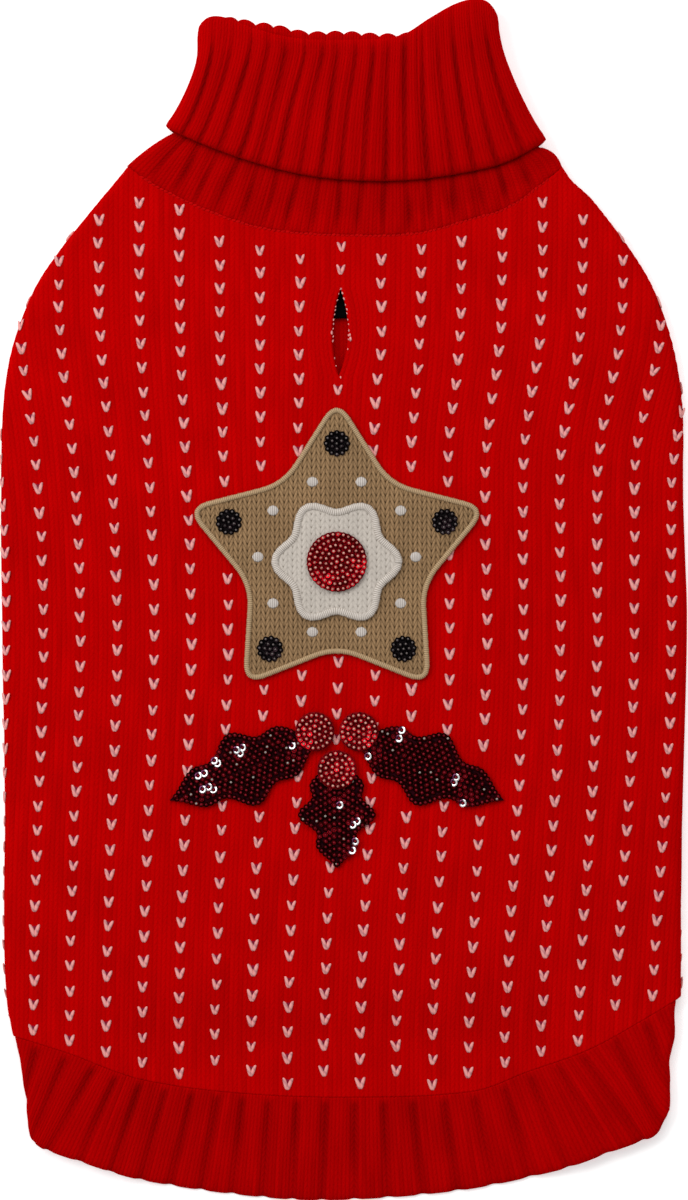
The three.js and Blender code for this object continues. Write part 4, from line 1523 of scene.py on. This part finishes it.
@dataclass
class LabelTape:
    """The black neck label that shows through the slit, bare of any words."""

    rows: int = 24
    columns: int = 18
    sag: float = 0.25

    def build(self) -> Piece:
        """Builds the tape with a soft sag."""
        low, high = box_mm("neck_label")
        x = np.linspace(low[0], high[0], self.columns)[None, :]
        y = np.linspace(low[1], high[1], self.rows)[:, None]
        across, up = (x - x.mean()) / (high[0] - low[0]), (y - low[1]) / (high[1] - low[1])
        top = together(x, y, high[2] - self.sag * np.cos(math.pi * across) * np.sin(math.pi * up))
        form = cloth_wall(top, top - (0, 0, high[2] - low[2]), top[..., :2] / 2)
        return add_piece("label_tape", form, BLACK_TAPE, "black_tape", "neck_label")


# --- White stitches ---


def inside_outline(points: Array, outline: Array) -> Array:
    """Tells which points lie inside a closed outline.

    Args:
        points: X and Y of each point.
        outline: X and Y of each corner.

    Returns:
        True for each point inside.
    """
    found = np.zeros(len(points), bool)
    for (ax, ay), (bx, by) in zip(outline, np.roll(outline, -1, axis=0)):
        crosses = (ay > points[:, 1]) != (by > points[:, 1])
        if crosses.any():
            at = ax + (points[:, 1] - ay) / (by - ay if by != ay else 1e-9) * (bx - ax)
            found ^= crosses & (points[:, 0] < at)
    return found


@dataclass
class WhiteStitches:
    """White yarn stitches knitted in at every fourth wale, each two legs that meet at the bottom."""

    columns: int = 11
    rows: tuple[int, int] = (-21, 17)
    seam_clear: float = 3.0
    slit_clear: float = 2.0
    edge_clear: float = 4.0
    hole_clear: float = 3.0
    stand: float = 0.12
    sunk: float = 0.1
    least_height: float = 0.03
    low: float = -2.3
    tall: float = 4.7
    spine: Triple = (0.3, 0.72, 0.74)
    leg_shares: tuple[float, ...] = (0, 0.09, 0.25, 0.5, 0.75, 0.92, 1)
    leg_halves: tuple[float, ...] = (0.24, 0.58, 0.8, 0.84, 0.76, 0.56, 0.26)
    leg_rise: float = 0.1
    around: int = 6
    tilt: float = 0.05
    odd_size: float = 0.05
    stray: Pair = (0.12, 0.2)

    def leg(self, side: int) -> Form:
        """One leaf-shaped leg that leans out from the bottom of the stitch to its top."""
        t, half = (np.array(values)[:, None] for values in (self.leg_shares, self.leg_halves))
        start, lean, bend = self.spine
        turn = angles(self.around)
        x = side * (start + lean * t + bend * t * t) + half * np.cos(turn)
        z = half * 0.5 * np.sin(turn) + self.leg_rise * np.sin(math.pi * t)
        return lofted(together(x, self.low + self.tall * t, z))

    def notch(self) -> Form:
        """A flat wedge painted in shade on the cloth between the two legs at the top."""
        t = np.linspace(0, 1, 4)[:, None]
        turn = angles(self.around)
        form = lofted(together((0.1 + 0.8 * t) * np.cos(turn), -0.3 + 2.1 * t, 0.05 * np.sin(turn) - 0.1))
        # Painted shade: the whole wedge takes the white yarn's shade colour.
        form.painted_light_and_tone = 1.0
        return form

    def fits(self, number: int, here: Array, reach: Array, kept_clear: Sequence[Array]) -> Array:
        """Tells which stitches of a column show whole.

        Args:
            number: The column's number.
            here: Where its stitches sit.
            reach: How far round the tube each lies.
            kept_clear: Outlines of the pieces that cover some.

        Returns:
            True for each stitch that is made.
        """
        x, y, low = here[:, 0], here[:, 1], here[:, 2] < FOLD_RADIUS
        fits = np.abs(reach) < BODY_SIDES.end(y) - self.edge_clear
        fits &= y < NECK_SEAM.at(x) - self.seam_clear
        fits &= y > HEM_SEAM.at(x) + self.seam_clear
        fits &= ~(low & LEG_HOLE.near(here, self.hole_clear))
        if number == 0:
            fits &= (y < SLIT.ends[0] - self.slit_clear) | (y > SLIT.ends[1] + self.slit_clear)
        for outline in kept_clear:
            fits &= ~(inside_outline(here[:, :2], outline) & ~low)
        return fits

    def places(self, kept_clear: Sequence[Array]) -> tuple[Array, Array]:
        """Works out where the stitches sit and how they turn.

        Args:
            kept_clear: Outlines of the pieces that cover them.

        Returns:
            The places, and a turn for each.
        """
        rng = np.random.default_rng(SEED)
        spots, turns = [], []
        for number in range(-self.columns, self.columns + 1):
            half_drop = 0.5 * (abs(number) % 2)
            rows = np.arange(*self.rows) + half_drop
            column = np.full(len(rows), float(number))
            y = KNIT_GRID.height(column, rows)
            here, above = (self.on_cloth(column, height) for height in (y, y + 0.5))
            reach, flat = KNIT_GRID.reach(column, y), BODY_SIDES.half_flat(y)
            fits = self.fits(number, here, reach, kept_clear)
            for spot, higher, distance, width in zip(here[fits], above[fits], reach[fits], flat[fits]):
                up = (higher - spot) / np.linalg.norm(higher - spot)
                past = np.clip((abs(distance) - width) / FOLD_RADIUS, 0, math.pi)
                out = np.array([math.copysign(math.sin(past), distance), 0, math.cos(past)])
                out -= up * np.dot(out, up)
                out /= np.linalg.norm(out)
                across = np.cross(up, out)
                tilt = rng.normal(0, self.tilt)
                size = rng.normal(1, self.odd_size)
                turned = np.column_stack([across * math.cos(tilt) + up * math.sin(tilt),
                                          up * math.cos(tilt) - across * math.sin(tilt), out])
                spots.append(spot + across * rng.normal(0, self.stray[0]) + up * rng.normal(0, self.stray[1]))
                turns.append(turned * size)
        return np.array(spots), np.array(turns)

    def on_cloth(self, column: Array, y: Array) -> Array:
        """The cloth's outer face at a column and height, beside the slit too."""
        reach = KNIT_GRID.reach(column, y)
        under = BODY_SIDES.under(reach, y, BackCloth.bend_from)
        thick = WALL + self.stand - (BackCloth.underside_lift + self.sunk) * under
        spot = round_tube(BODY_SIDES, reach, y, thick)
        push = SLIT.push(np.abs(spot[:, 0] - SLIT.x), y)
        spot[:, 0] += np.where(spot[:, 2] > FOLD_RADIUS, np.sign(column) * push, 0)
        return spot

    def build(self, kept_clear: Sequence[Array]) -> Piece:
        """Builds all the stitches as one piece.

        Args:
            kept_clear: Outlines of the pieces that cover some of them.

        Returns:
            The piece.
        """
        spots, turns = self.places(kept_clear)
        parts = (self.leg(-1), self.leg(1), self.notch())
        form = joined([repeated(part, spots, turns) for part in parts])
        form.points[:, 2] = np.maximum(form.points[:, 2], self.least_height)
        LOG.info("white stitches: %d", len(spots))
        return add_piece("white_stitches", form, WHITE_YARN, "cream_knit")


@dataclass
class SlitStitches:
    """White yarn ends along the slit's edges, and a few that stand loose beside it."""

    count: int = 11
    shares: Pair = (-0.16, 0.96)
    bead: Triple = (0.3, 0.62, 0.24)
    stand: float = 0.05
    stray_stand: float = 0.1
    strays: tuple[Triple, ...] = (
        (-5.1, 111.9, 1.5), (2.5, 111.0, 1.1), (2.7, 109.2, 1.7), (-3.9, 101.2, 0.7), (1.6, 105.0, 0.7),
        (-3.3, 98.0, 0.6), (-1.4, 93.2, 0.9),
    )

    def build(self) -> Piece:
        """Builds the small yarn ends."""
        rng = np.random.default_rng(SEED + 1)
        height = TOP_INSIDE + WALL
        spots, turns = [], []
        for side in (-1, 1):
            for t in np.linspace(*self.shares, self.count):
                y = SLIT.y + (t + rng.normal(0, 0.02)) * SLIT.length / 2
                half = float(SLIT.opening(np.array(y)))
                spots.append([SLIT.x + side * (half + rng.uniform(-0.1, 0.25)), y, height + self.stand])
                angle = side * (0.25 + 0.35 * t) + rng.uniform(-0.3, 0.3)
                turns.append(spins(angle) * rng.uniform(0.55, 1.15))
        for x, y, size in self.strays:
            spots.append([x, y, height + self.stray_stand])
            turns.append(np.eye(3) * size)
        form = repeated(pebble(*self.bead), np.array(spots), np.array(turns))
        return add_piece("slit_yarn_ends", form, WHITE_YARN, "cream_knit")


# --- Applique ---


def on_back(points: Array) -> Array:
    """Lifts flat applique points by what the cloth under them stands proud."""
    lifted = points.copy()
    lifted[:, 2] += swelling(points[:, 0], points[:, 1])
    return lifted


def edge_roll(share: Array, drop: float) -> Array:
    """How far a patch's top sinks at each share of the way out to its edge."""
    level = 0.8
    return drop * np.clip((share - level) / (1 - level), 0, 1) ** 2


def domed_plate(outline: Array, middle: Array, height: Pair, rings: int, drop: float,
                gauge: Pair) -> Form:
    """A soft cloth patch inside an outline.

    Args:
        outline: X and Y of its edge.
        middle: X and Y of its middle.
        height: Heights of its underside and of its top.
        rings: How many rings of points run round it.
        drop: How much lower its top is at the edge.
        gauge: Width of one wale and height of one course, in millimetres.

    Returns:
        The closed form.
    """
    share = np.linspace(0.03, 1, rings)[:, None] ** 0.9
    flat = middle + share[..., None] * (outline - middle)
    top = height[1] - edge_roll(share, drop) + 0 * flat[..., 0]
    count = len(outline)
    faces = [*plain_faces(rings, count, ring=True), tuple(range(count - 1, -1, -1))]
    xy = flat.reshape(-1, 2)
    upper, under = (on_back(np.column_stack([xy, z])) for z in (top.reshape(-1), np.full(len(xy), height[0])))
    return close_shell(upper, under, faces, xy / gauge)


@dataclass
class Patch:
    """A knitted patch with satin stitches over its edge, and loose fibre ends that stand out from them."""

    node: str
    name: str
    slot: str
    knit: AcrylicKnit
    satin: SatinThread
    x: float
    y: float
    step: float
    rings: int
    drop: float
    gauge: Pair
    roll_half: Pair
    inset: float
    fibre_step: float
    fibre_seed: int
    below: float = 0.3
    around: int = 8
    spike: tuple[tuple[float, float, float, float], ...] = ((-0.9, 0.16, 0, 0.2), (0.7, 0.05, 0.1, 0.16))

    @property
    def middle(self) -> Array:
        """The patch's middle."""
        return np.array([self.x, self.y])

    def knit_and_edge(self, outline: Array) -> list[Piece]:
        """Builds the patch, its satin stitches and their fibres."""
        low, high = box_mm(self.node)
        patch = domed_plate(outline, self.middle, (low[2], high[2]), self.rings, self.drop, self.gauge)
        return [
            add_piece(f"{self.name}_knit", patch, self.knit, self.slot, self.node),
            add_piece(f"{self.name}_edge_stitches", self.roll(outline, high[2]), self.satin, self.slot),
            add_piece(f"{self.name}_edge_fibres", self.fibres(outline, high[2]), self.satin, self.slot),
        ]

    def roll(self, outline: Array, top: float) -> Form:
        """Lays the satin stitches.

        Args:
            outline: X and Y of the edge.
            top: Height of the patch's top.

        Returns:
            The roll.
        """
        step = np.roll(outline, -1, axis=0) - np.roll(outline, 1, axis=0)
        step /= np.linalg.norm(step, axis=1)[:, None]
        out = together(step[:, 1], -step[:, 0])
        ahead = np.roll(outline, -1, axis=0)
        if np.sum(outline[:, 0] * ahead[:, 1] - outline[:, 1] * ahead[:, 0]) < 0:
            out = -out
        turn = angles(self.around)
        length = length_along(outline)[:, None]
        uneven = 1 + 0.05 * np.sin(length * 1.9) + 0.03 * np.sin(length * 4.3 + 1)
        half_width, half_height = self.roll_half
        reach = half_width * uneven * np.cos(turn) - self.inset
        xy = outline[:, None, :] + out[:, None, :] * reach[..., None]
        z = top - self.below + half_height * np.sin(turn)
        points = together(xy[..., 0], xy[..., 1], z).reshape(-1, 3)
        stitch = together(length, turn).reshape(-1, 2)
        return Form(on_back(points), loop_faces(len(outline), self.around), stitch)

    def fibres(self, outline: Array, top: float) -> Form:
        """Scatters the fibre ends.

        Args:
            outline: X and Y of the edge.
            top: Height of the patch's top.

        Returns:
            The fibres, each a thin three-sided spike.
        """
        rng = np.random.default_rng(self.fibre_seed)
        spots = evenly(outline, self.fibre_step)
        run = np.roll(spots, -1, axis=0) - np.roll(spots, 1, axis=0)
        angle = np.arctan2(run[:, 1], run[:, 0]) - math.pi / 2
        inward = np.sum(towards(angle) * (spots - spots.mean(axis=0)), axis=1) < 0
        angle = np.where(inward, angle + math.pi, angle) + rng.normal(0, 0.6, len(spots))
        size = rng.uniform(0.5, 1.3, len(spots))
        rings = [[(x, y, low), (x, -y, low), (x, 0, high)] for x, y, low, high in self.spike]
        places = together(*spots.T, top - self.below + rng.uniform(-0.3, 0.3, len(spots)))
        form = repeated(lofted(np.array(rings)), on_back(places), spins(angle) * size[:, None, None])
        form.stitch = form.points[:, :2]
        return form


@dataclass(frozen=True)
class SequinWork:
    """Small punched cups sewn down in rows, each with a knot of thread in its hole.

    A few cups here and there stand up towards the key lamp and take a painted glint.
    """

    film: SequinFilm
    film: SequinFilm
    thread: PlainYarn
    slot: str
    radius: float = 1.2
    waist: Pair = (0.6, 0.05)
    hole: float = 0.5
    cup: float = 0.2
    thick: float = 0.08
    around: int = 12
    lift: float = 0.06
    tilt: float = 0.12
    stand: Pair = (0.12, 0.28)
    tones: Pair = (0.1, 0.7)
    cup_shading: Triple = (0.2, 0.1, -0.45)
    knot: Triple = (0.44, 0.44, 0.24)
    clusters: int = 2
    cluster_reach: float = 3.4
    cluster_glow: Pair = (0.6, 4.0)
    bright_share: float = 0.0
    pale_knots: float = 0.0
    catch: float = 0.95
    catch_swing: float = 0.9
    turned_up: float = 0.3
    turned_size: float = 1.42
    turned_stand: float = 0.25
    facing: float = -0.27

    def cup_form(self) -> Form:
        """One sequin: a thin cup with a hole."""
        waist, rise = self.waist[0] * self.radius, self.waist[1]
        upper = ((self.hole, 0.0), (waist, rise), (self.radius, self.cup))
        section = [*upper, *((radius, z - self.thick) for radius, z in reversed(upper))]
        radius, z = (column[:, None] for column in np.array(section).T)
        turn = angles(self.around)
        rings = together(radius * np.cos(turn), radius * np.sin(turn), z)
        return Form(rings.reshape(-1, 3), loop_faces(len(section), self.around))

    def turned(self, lean: float, raised: float, sideways: float) -> Array:
        """The turn of a sequin whose edge towards lean stands up."""
        up, over = math.cos(raised), math.sin(raised)
        level, roll = math.cos(sideways), math.sin(sideways)
        return spins(lean) @ np.array([[up, 0, -over], [0, 1, 0], [over, 0, up]]) @ np.array(
            [[1, 0, 0], [0, level, -roll], [0, roll, level]])

    def sew(self, name: str, spots: Array, height: float, lean: Array,
            rng: np.random.Generator) -> list[Piece]:
        """Sews sequins at the given places.

        Args:
            name: What they decorate.
            spots: X and Y of each.
            height: Height of the cloth they lie on.
            lean: Direction in radians that each one's raised edge faces.
            rng: Source of their unevenness.

        Returns:
            The sequins, their knots and the few that are turned up.
        """
        count = len(spots)
        # Painted highlights: the tone rises in patches round a few hub sequins, over a random tone, and some
        # cups near a hub take the glint film.
        hubs = spots[rng.integers(0, count, self.clusters)]
        near = np.array([np.hypot(*(hubs - spot).T).min() for spot in spots])
        glow, glow_reach = self.cluster_glow
        tone = np.clip(rng.uniform(*self.tones, count) + glow * np.exp(-((near / glow_reach) ** 2)), 0, 1)
        bright = (near < self.cluster_reach) & (rng.uniform(0, 1, count) < self.bright_share)
        turns = np.array([
            self.turned(self.facing, self.turned_up, rng.normal(0, 0.1)) * self.turned_size if shows
            else self.turned(angle, rng.normal(self.lift, self.tilt), rng.normal(0, self.tilt))
            for angle, shows in zip(lean, bright)
        ])
        stand = rng.uniform(*self.stand, count) + self.turned_stand * bright
        places = on_back(together(*spots.T, height + stand))
        one = self.cup_form()
        x, y = one.points[:, 0], one.points[:, 1]
        # Painted shade: each cup is painted lighter by its hole and darker towards its rim.
        wear_and_cup_shade = np.interp(np.hypot(x, y), [self.hole, self.waist[0] * self.radius, self.radius], self.cup_shading)
        # Painted highlight: the glint film is painted brightest on the side that faces the key lamp.
        caught = self.catch + self.catch_swing * np.cos(np.arctan2(y, x) - self.facing)
        looks = (("sequins", self.film, ~bright, tone[:, None] + wear_and_cup_shade),
                 ("painted_glint_sequins", PAINTED_GLINT_SEQUIN, bright, caught + 0 * tone[:, None]))
        made = []
        for label, film, chosen, painted_light_and_tone in looks:
            if chosen.any():
                form = repeated(one, places[chosen], turns[chosen])
                form.painted_light_and_tone = painted_light_and_tone[chosen].reshape(-1)
                made.append(add_piece(f"{name}_{label}", form, film, self.slot))
        knots = repeated(pebble(*self.knot), places)
        # Painted glints: a few knots take the thread's pale second colour.
        glinting = rng.uniform(0, 1, count) < self.pale_knots
        knots.painted_light_and_tone = np.repeat(glinting.astype(float), len(knots.points) // count)
        made.append(add_piece(f"{name}_knots", knots, self.thread, self.slot))
        return made


def rounded_corners(corners: Array, cut: float, steps: int = 9) -> Array:
    """Rounds each corner of an outline with a quadratic arc.

    Args:
        corners: X and Y of each corner.
        cut: How far from the corner the arc starts.
        steps: Points on each arc.

    Returns:
        The rounded outline.
    """
    t = np.linspace(0, 1, steps)[:, None]
    arcs = []
    for before, corner, after in zip(np.roll(corners, 1, axis=0), corners, np.roll(corners, -1, axis=0)):
        start = corner + (before - corner) / np.linalg.norm(before - corner) * cut
        end = corner + (after - corner) / np.linalg.norm(after - corner) * cut
        arcs.append((1 - t) ** 2 * start + 2 * t * (1 - t) * corner + t * t * end)
    return np.concatenate(arcs)


def evenly(outline: Array, step: float) -> Array:
    """Spaces a closed outline's points evenly."""
    closed = np.concatenate([outline, outline[:1]])
    length = length_along(closed)
    place = np.linspace(0, length[-1], int(length[-1] / step), endpoint=False)
    return np.column_stack([np.interp(place, length, column) for column in closed.T])


@dataclass
class StarPatch(Patch):
    """A five-pointed star of tan knit with a satin-stitched edge, white dots and small dark sequins."""

    node: str = "star_patch"
    name: str = "star"
    slot: str = "tan_knit"
    knit: AcrylicKnit = TAN_JERSEY
    satin: SatinThread = TAN_SATIN
    x: float = -3.0
    y: float = 18.0
    step: float = 0.9
    rings: int = 44
    drop: float = 0.5
    gauge: Pair = (3.85, 2.9)
    roll_half: Pair = (1.1, 0.8)
    inset: float = 0.5
    fibre_step: float = 0.55
    fibre_seed: int = SEED + 7
    outer: float = 66.0
    inner: float = 38.0
    points: int = 5
    round: float = 9.8
    dots: int = 10
    dot_ring: float = 33.0
    dot: Triple = (2.4, 2.25, 0.34)
    dot_stand: float = 0.05
    accent_ring: float = 47.5
    accent_rings: tuple[tuple[float, int], ...] = ((0.0, 1), (2.25, 6), (4.5, 12))
    accent_felt: Triple = (5.1, 5.1, 0.1)
    accent_stand: float = 0.02
    accent_sequin: float = 1.15

    def outline(self) -> Array:
        """The star's edge."""
        radius = np.where(np.arange(2 * self.points) % 2, self.inner, self.outer)[:, None]
        corners = self.middle + radius * towards(math.pi / 2 + angles(2 * self.points))
        return evenly(rounded_corners(corners, self.round), self.step)

    def build(self) -> list[Piece]:
        """Builds the patch, its edge, its dots and its accents."""
        top = box_mm(self.node)[1][2]
        return [*self.knit_and_edge(self.outline()), self.dot_stitches(top), *self.accents(top)]

    def dot_stitches(self, height: float) -> Piece:
        """Embroiders the ring of white dots."""
        turn = angles(self.dots) + math.pi / self.dots + math.pi / 2
        spots = self.middle + self.dot_ring * towards(turn)
        form = repeated(pebble(*self.dot), on_back(together(*spots.T, height + self.dot_stand)))
        form.stitch = form.points[:, :2]
        return add_piece("star_dot_stitches", form, DOT_SATIN, "cream_knit")

    def accents(self, height: float) -> list[Piece]:
        """Sews a small round of dark sequins in each point of the star."""
        spots, lean, middles = [], [], []
        for turn in angles(self.points) + math.pi / 2:
            middle = self.middle + self.accent_ring * towards(turn)
            middles.append([*middle, height + self.accent_stand])
            for ring, count in self.accent_rings:
                for angle in turn + angles(count):
                    spots.append(middle + ring * towards(angle))
                    lean.append(angle)
        under = repeated(pebble(*self.accent_felt, 24, 9), on_back(np.array(middles)))
        felt = add_piece("star_dark_rounds", under, BLACK_FELT, "dark_sequin_cloth")
        work = SequinWork(BLACK_SEQUIN, GREY_THREAD, "dark_sequin_cloth", radius=self.accent_sequin)
        made = work.sew("star_dark", np.array(spots), height, np.array(lean), np.random.default_rng(SEED + 2))
        return [felt, *made]


@dataclass
class Rosette(Patch):
    """A six-lobed rosette of cream knit with a thick satin-stitched edge."""

    node: str = "star_centre"
    name: str = "rosette"
    slot: str = "cream_knit"
    knit: AcrylicKnit = CREAM_JERSEY
    satin: SatinThread = CREAM_SATIN
    x: float = -3.0
    y: float = 16.0
    step: float = 0.8
    rings: int = 30
    drop: float = 0.4
    gauge: Pair = (3.9, 2.75)
    roll_half: Pair = (1.6, 0.9)
    inset: float = 0.8
    fibre_step: float = 0.45
    fibre_seed: int = SEED + 8
    radius: float = 24.0
    lobe: float = 2.6
    lobes: int = 6

    def outline(self) -> Array:
        """The rosette's edge."""
        turn = angles(240)
        reach = self.radius + self.lobe * np.cos(self.lobes * turn)
        return evenly(self.middle + reach[:, None] * towards(turn), self.step)

    def build(self) -> list[Piece]:
        """Builds the rosette and its edge."""
        return self.knit_and_edge(self.outline())


@dataclass
class SequinRound:
    """A round felt piece covered with red sequins in rings."""

    name: str
    node: str
    under: str
    ring_gap: float = 2.3
    step: float = 2.15
    edge_clear: float = 0.8
    rings: int = 10
    drop: float = 0.3
    hole: float = 0.6
    knot: Triple = (0.54, 0.54, 0.24)

    def build(self) -> list[Piece]:
        """Builds the felt and its sequins."""
        low, high = box_mm(self.node)
        middle = (low[:2] + high[:2]) / 2
        radius = float((high[0] - low[0]) / 2)
        outline = middle + radius * towards(angles(72))
        felt = domed_plate(outline, middle, (low[2], high[2]), self.rings, self.drop, (2.0, 2.0))
        made = [add_piece(f"{self.name}_felt", felt, RED_BACKING, "red_sequin_cloth", self.node)]
        rng = np.random.default_rng(SEED + len(self.node) + int(abs(middle[0]) * 10))
        spots, lean = [middle], [0.0]
        ring = self.ring_gap
        while ring < radius - self.edge_clear:
            count = int(2 * math.pi * ring / self.step)
            for angle in rng.uniform(0, 2 * math.pi) + angles(count):
                spots.append(middle + ring * towards(angle))
                lean.append(angle + math.pi / 2 + rng.normal(0, 0.1))
            ring += self.ring_gap
        work = SequinWork(RED_SEQUIN, ROSE_THREAD, "red_sequin_cloth", hole=self.hole, knot=self.knot)
        return [*made, *work.sew(self.name, np.array(spots), high[2], np.array(lean), rng)]


@dataclass
class HollyLeaf:
    """A scalloped felt leaf covered with dark sequins that lie in rows out from its vein."""

    node: str
    x: float
    y: float
    turn: float
    length: float = 66.0
    width: float = 32.0
    tip: float = 0.2
    drop: float = 0.3
    lobes: int = 3
    scallop: float = 2.8
    row_gap: float = 2.6
    row_slant: float = 0.55
    vein_clear: float = 1.1
    end_clear: float = 1.2
    step: float = 1.85
    clusters: int = 5
    edge_inset: float = 0.85
    edge_step: float = 2.1
    edge_band: float = 1.6
    lean: float = 1.05
    hole: float = 0.55
    knot: Triple = (0.5, 0.5, 0.24)

    def half_width(self, t: Array) -> Array:
        """Half of the leaf's width along its vein."""
        swell = np.sin(math.pi * t**0.85) * (self.width / 2 - self.scallop)
        scallop = self.scallop * np.sin(math.pi * t) * np.cos(2 * math.pi * self.lobes * t + math.pi)
        return swell + scallop + self.tip

    def turned(self, u: Any, v: Any) -> Array:
        """Turns places along and across the leaf to X and Y."""
        along, across = towards(math.radians(self.turn))
        return together(self.x + u * along - v * across, self.y + u * across + v * along)

    def outline(self) -> Array:
        """The leaf's edge."""
        t = np.linspace(0, 1, 60)
        half = self.half_width(t)
        there = self.turned(t * self.length, -half)
        return np.concatenate([there, self.turned(t[::-1] * self.length, half[::-1])])

    def build(self) -> list[Piece]:
        """Builds the felt and its sequins."""
        low, high = box_mm(self.node)
        t = np.linspace(0, 1, 56)[:, None]
        s = np.linspace(-1, 1, 21)[None, :]
        flat = self.turned(t * self.length, s * self.half_width(t))
        heights = (high[2] - edge_roll(np.abs(s), self.drop), low[2])
        top, under = (together(flat[..., 0], flat[..., 1], height) for height in heights)
        top, under = (on_back(face.reshape(-1, 3)).reshape(face.shape) for face in (top, under))
        felt = add_piece(f"{self.node}_felt", cloth_wall(top, under, flat / 2), WINE_BACKING,
                         "dark_sequin_cloth", self.node)
        return [felt, *self.sequins(float(high[2]))]

    def sequins(self, height: float) -> list[Piece]:
        """Sews a line of sequins along the leaf's edge and slanting rows either side of its vein."""
        rng = np.random.default_rng(SEED + int(abs(self.turn)))
        spots, lean = [], []
        angle = math.radians(self.turn)
        t = np.linspace(0.015, 0.985, 400)
        for side in (-1, 1):
            out = np.maximum(self.half_width(t) - self.edge_inset, self.tip)
            edge = together(t * self.length, side * out)
            length = length_along(edge)
            for at in np.arange(self.edge_step / 2, length[-1], self.edge_step):
                spots.append(self.turned(*(np.interp(at, length, column) for column in edge.T)))
                lean.append(angle + side * math.pi / 2)
        for side in (-1, 1):
            for start in np.arange(-self.row_slant * self.width / 2, self.length, self.row_gap):
                for out in np.arange(self.vein_clear, self.width / 2, self.step):
                    place = start + self.row_slant * out
                    half = self.half_width(np.clip(place / self.length, 0, 1))
                    fits = out < half - self.edge_inset - self.edge_band
                    if fits and self.end_clear < place < self.length - self.end_clear:
                        spots.append(self.turned(place, side * out) + rng.normal(0, 0.06, 2))
                        lean.append(angle + side * self.lean + rng.normal(0, 0.15))
        # Painted highlights in five patches, with painted glints on some cups and knots.
        work = SequinWork(WINE_SEQUIN, WINE_THREAD, "dark_sequin_cloth", hole=self.hole, knot=self.knot,
                          clusters=self.clusters, cluster_reach=3.0, bright_share=0.4, pale_knots=0.05)
        return work.sew(self.node, np.array(spots), height, np.array(lean), rng)


LEAVES = (
    HollyLeaf("leaf_left", -12, -58, 203),
    HollyLeaf("leaf_right", 6, -58, -23),
    HollyLeaf("leaf_lower", -3, -68, -90, length=44),
)
ROUNDS = (
    SequinRound("centre_round", "centre_disc", "rosette_knit"),
    SequinRound("berry_left", "berry_left", "leaf_left_felt"),
    SequinRound("berry_right", "berry_right", "leaf_right_felt"),
    SequinRound("berry_lower", "berry_lower", "leaf_lower_felt"),
)
CUFFS = (
    CuffRibbing("cuff_ribbing_left", "leg_cuff_left", -1),
    CuffRibbing("cuff_ribbing_right", "leg_cuff_right", 1),
)


# --- Studio ---


@dataclass
class Studio:
    """White paper, soft lights and a camera straight above."""

    view_height: float = 0.504
    distance: float = 1.8
    sensor: float = 36.0
    world: float = 0.51
    key: float = 18.5
    top: float = 12.5
    fill: float = 0.5
    paper_size: float = 6.0

    def camera(self) -> None:
        """Sets the camera to look straight down."""
        data = bpy.data.cameras.new("camera")
        data.sensor_fit = "VERTICAL"
        data.sensor_height = self.sensor
        data.lens = self.sensor * self.distance / self.view_height
        camera = bpy.data.objects.new("camera", data)
        camera.location = (0, 0, self.distance)
        bpy.context.scene.collection.objects.link(camera)
        bpy.context.scene.camera = camera
        bpy.context.scene.view_settings.view_transform = "Standard"

    def paper(self) -> None:
        """Lays the white paper."""
        half = self.paper_size / 2
        corners = [(-half, -half, 0), (half, -half, 0), (half, half, 0), (-half, half, 0)]
        mesh = bpy.data.meshes.new("paper")
        mesh.from_pydata(corners, [], [(0, 1, 2, 3)])
        mesh.materials.append(StudioPaper().build())
        paper = bpy.data.objects.new("paper", mesh)
        bpy.context.scene.collection.objects.link(paper)

    def lights(self) -> None:
        """Hangs the soft lights: the key from the left, one past the collar and a weak fill."""
        world = bpy.data.worlds.new("studio_air")
        world.use_nodes = True
        background = world.node_tree.nodes["Background"].inputs
        background["Color"].default_value = (1, 1, 1, 1)
        background["Strength"].default_value = self.world
        bpy.context.scene.world = world
        for name, power, size, place in (
            ("key", self.key, 1.1, (-1.3, 0.6, 1.3)),
            ("top", self.top, 1.1, (0.15, 1.45, 1.25)),
            ("fill", self.fill, 1.6, (1.3, -0.5, 1.5)),
        ):
            light = bpy.data.lights.new(name, "AREA")
            light.energy = power
            light.size = size
            lamp = bpy.data.objects.new(name, light)
            lamp.location = place
            lamp.rotation_mode = "QUATERNION"
            lamp.rotation_quaternion = (-Vector(place)).to_track_quat("-Z", "Y")
            bpy.context.scene.collection.objects.link(lamp)


# --- The sweater ---


def dress_cloth() -> None:
    """Builds the sweater's own cloth."""
    back = BackCloth().build()
    belly = BellyCloth().build()
    hem = HemRibbing().build()
    band = BellyRibbing().build()
    collar = CollarRibbing().build()
    NeckLinking().build()
    for cuff in CUFFS:
        cuff.build()
    LabelTape().build()


def dress_applique() -> list[Array]:
    """Builds the applique.

    Returns:
        Outlines of what it covers.
    """
    star = StarPatch()
    star.build()[0]
    Rosette().build()[0]
    for sequin_round in ROUNDS:
        felt = sequin_round.build()[0]
    for leaf in LEAVES:
        leaf.build()[0]
    return [star.outline(), *(leaf.outline() for leaf in LEAVES)]


def main() -> None:
    """Builds the studio and the sweater."""
    logging.basicConfig(level=logging.INFO, format="%(name)s: %(message)s")
    studio = Studio()
    studio.camera()
    studio.paper()
    studio.lights()
    dress_cloth()
    covered = dress_applique()
    WhiteStitches().build(covered)
    SlitStitches().build()


if __name__ == "__main__":
    main()
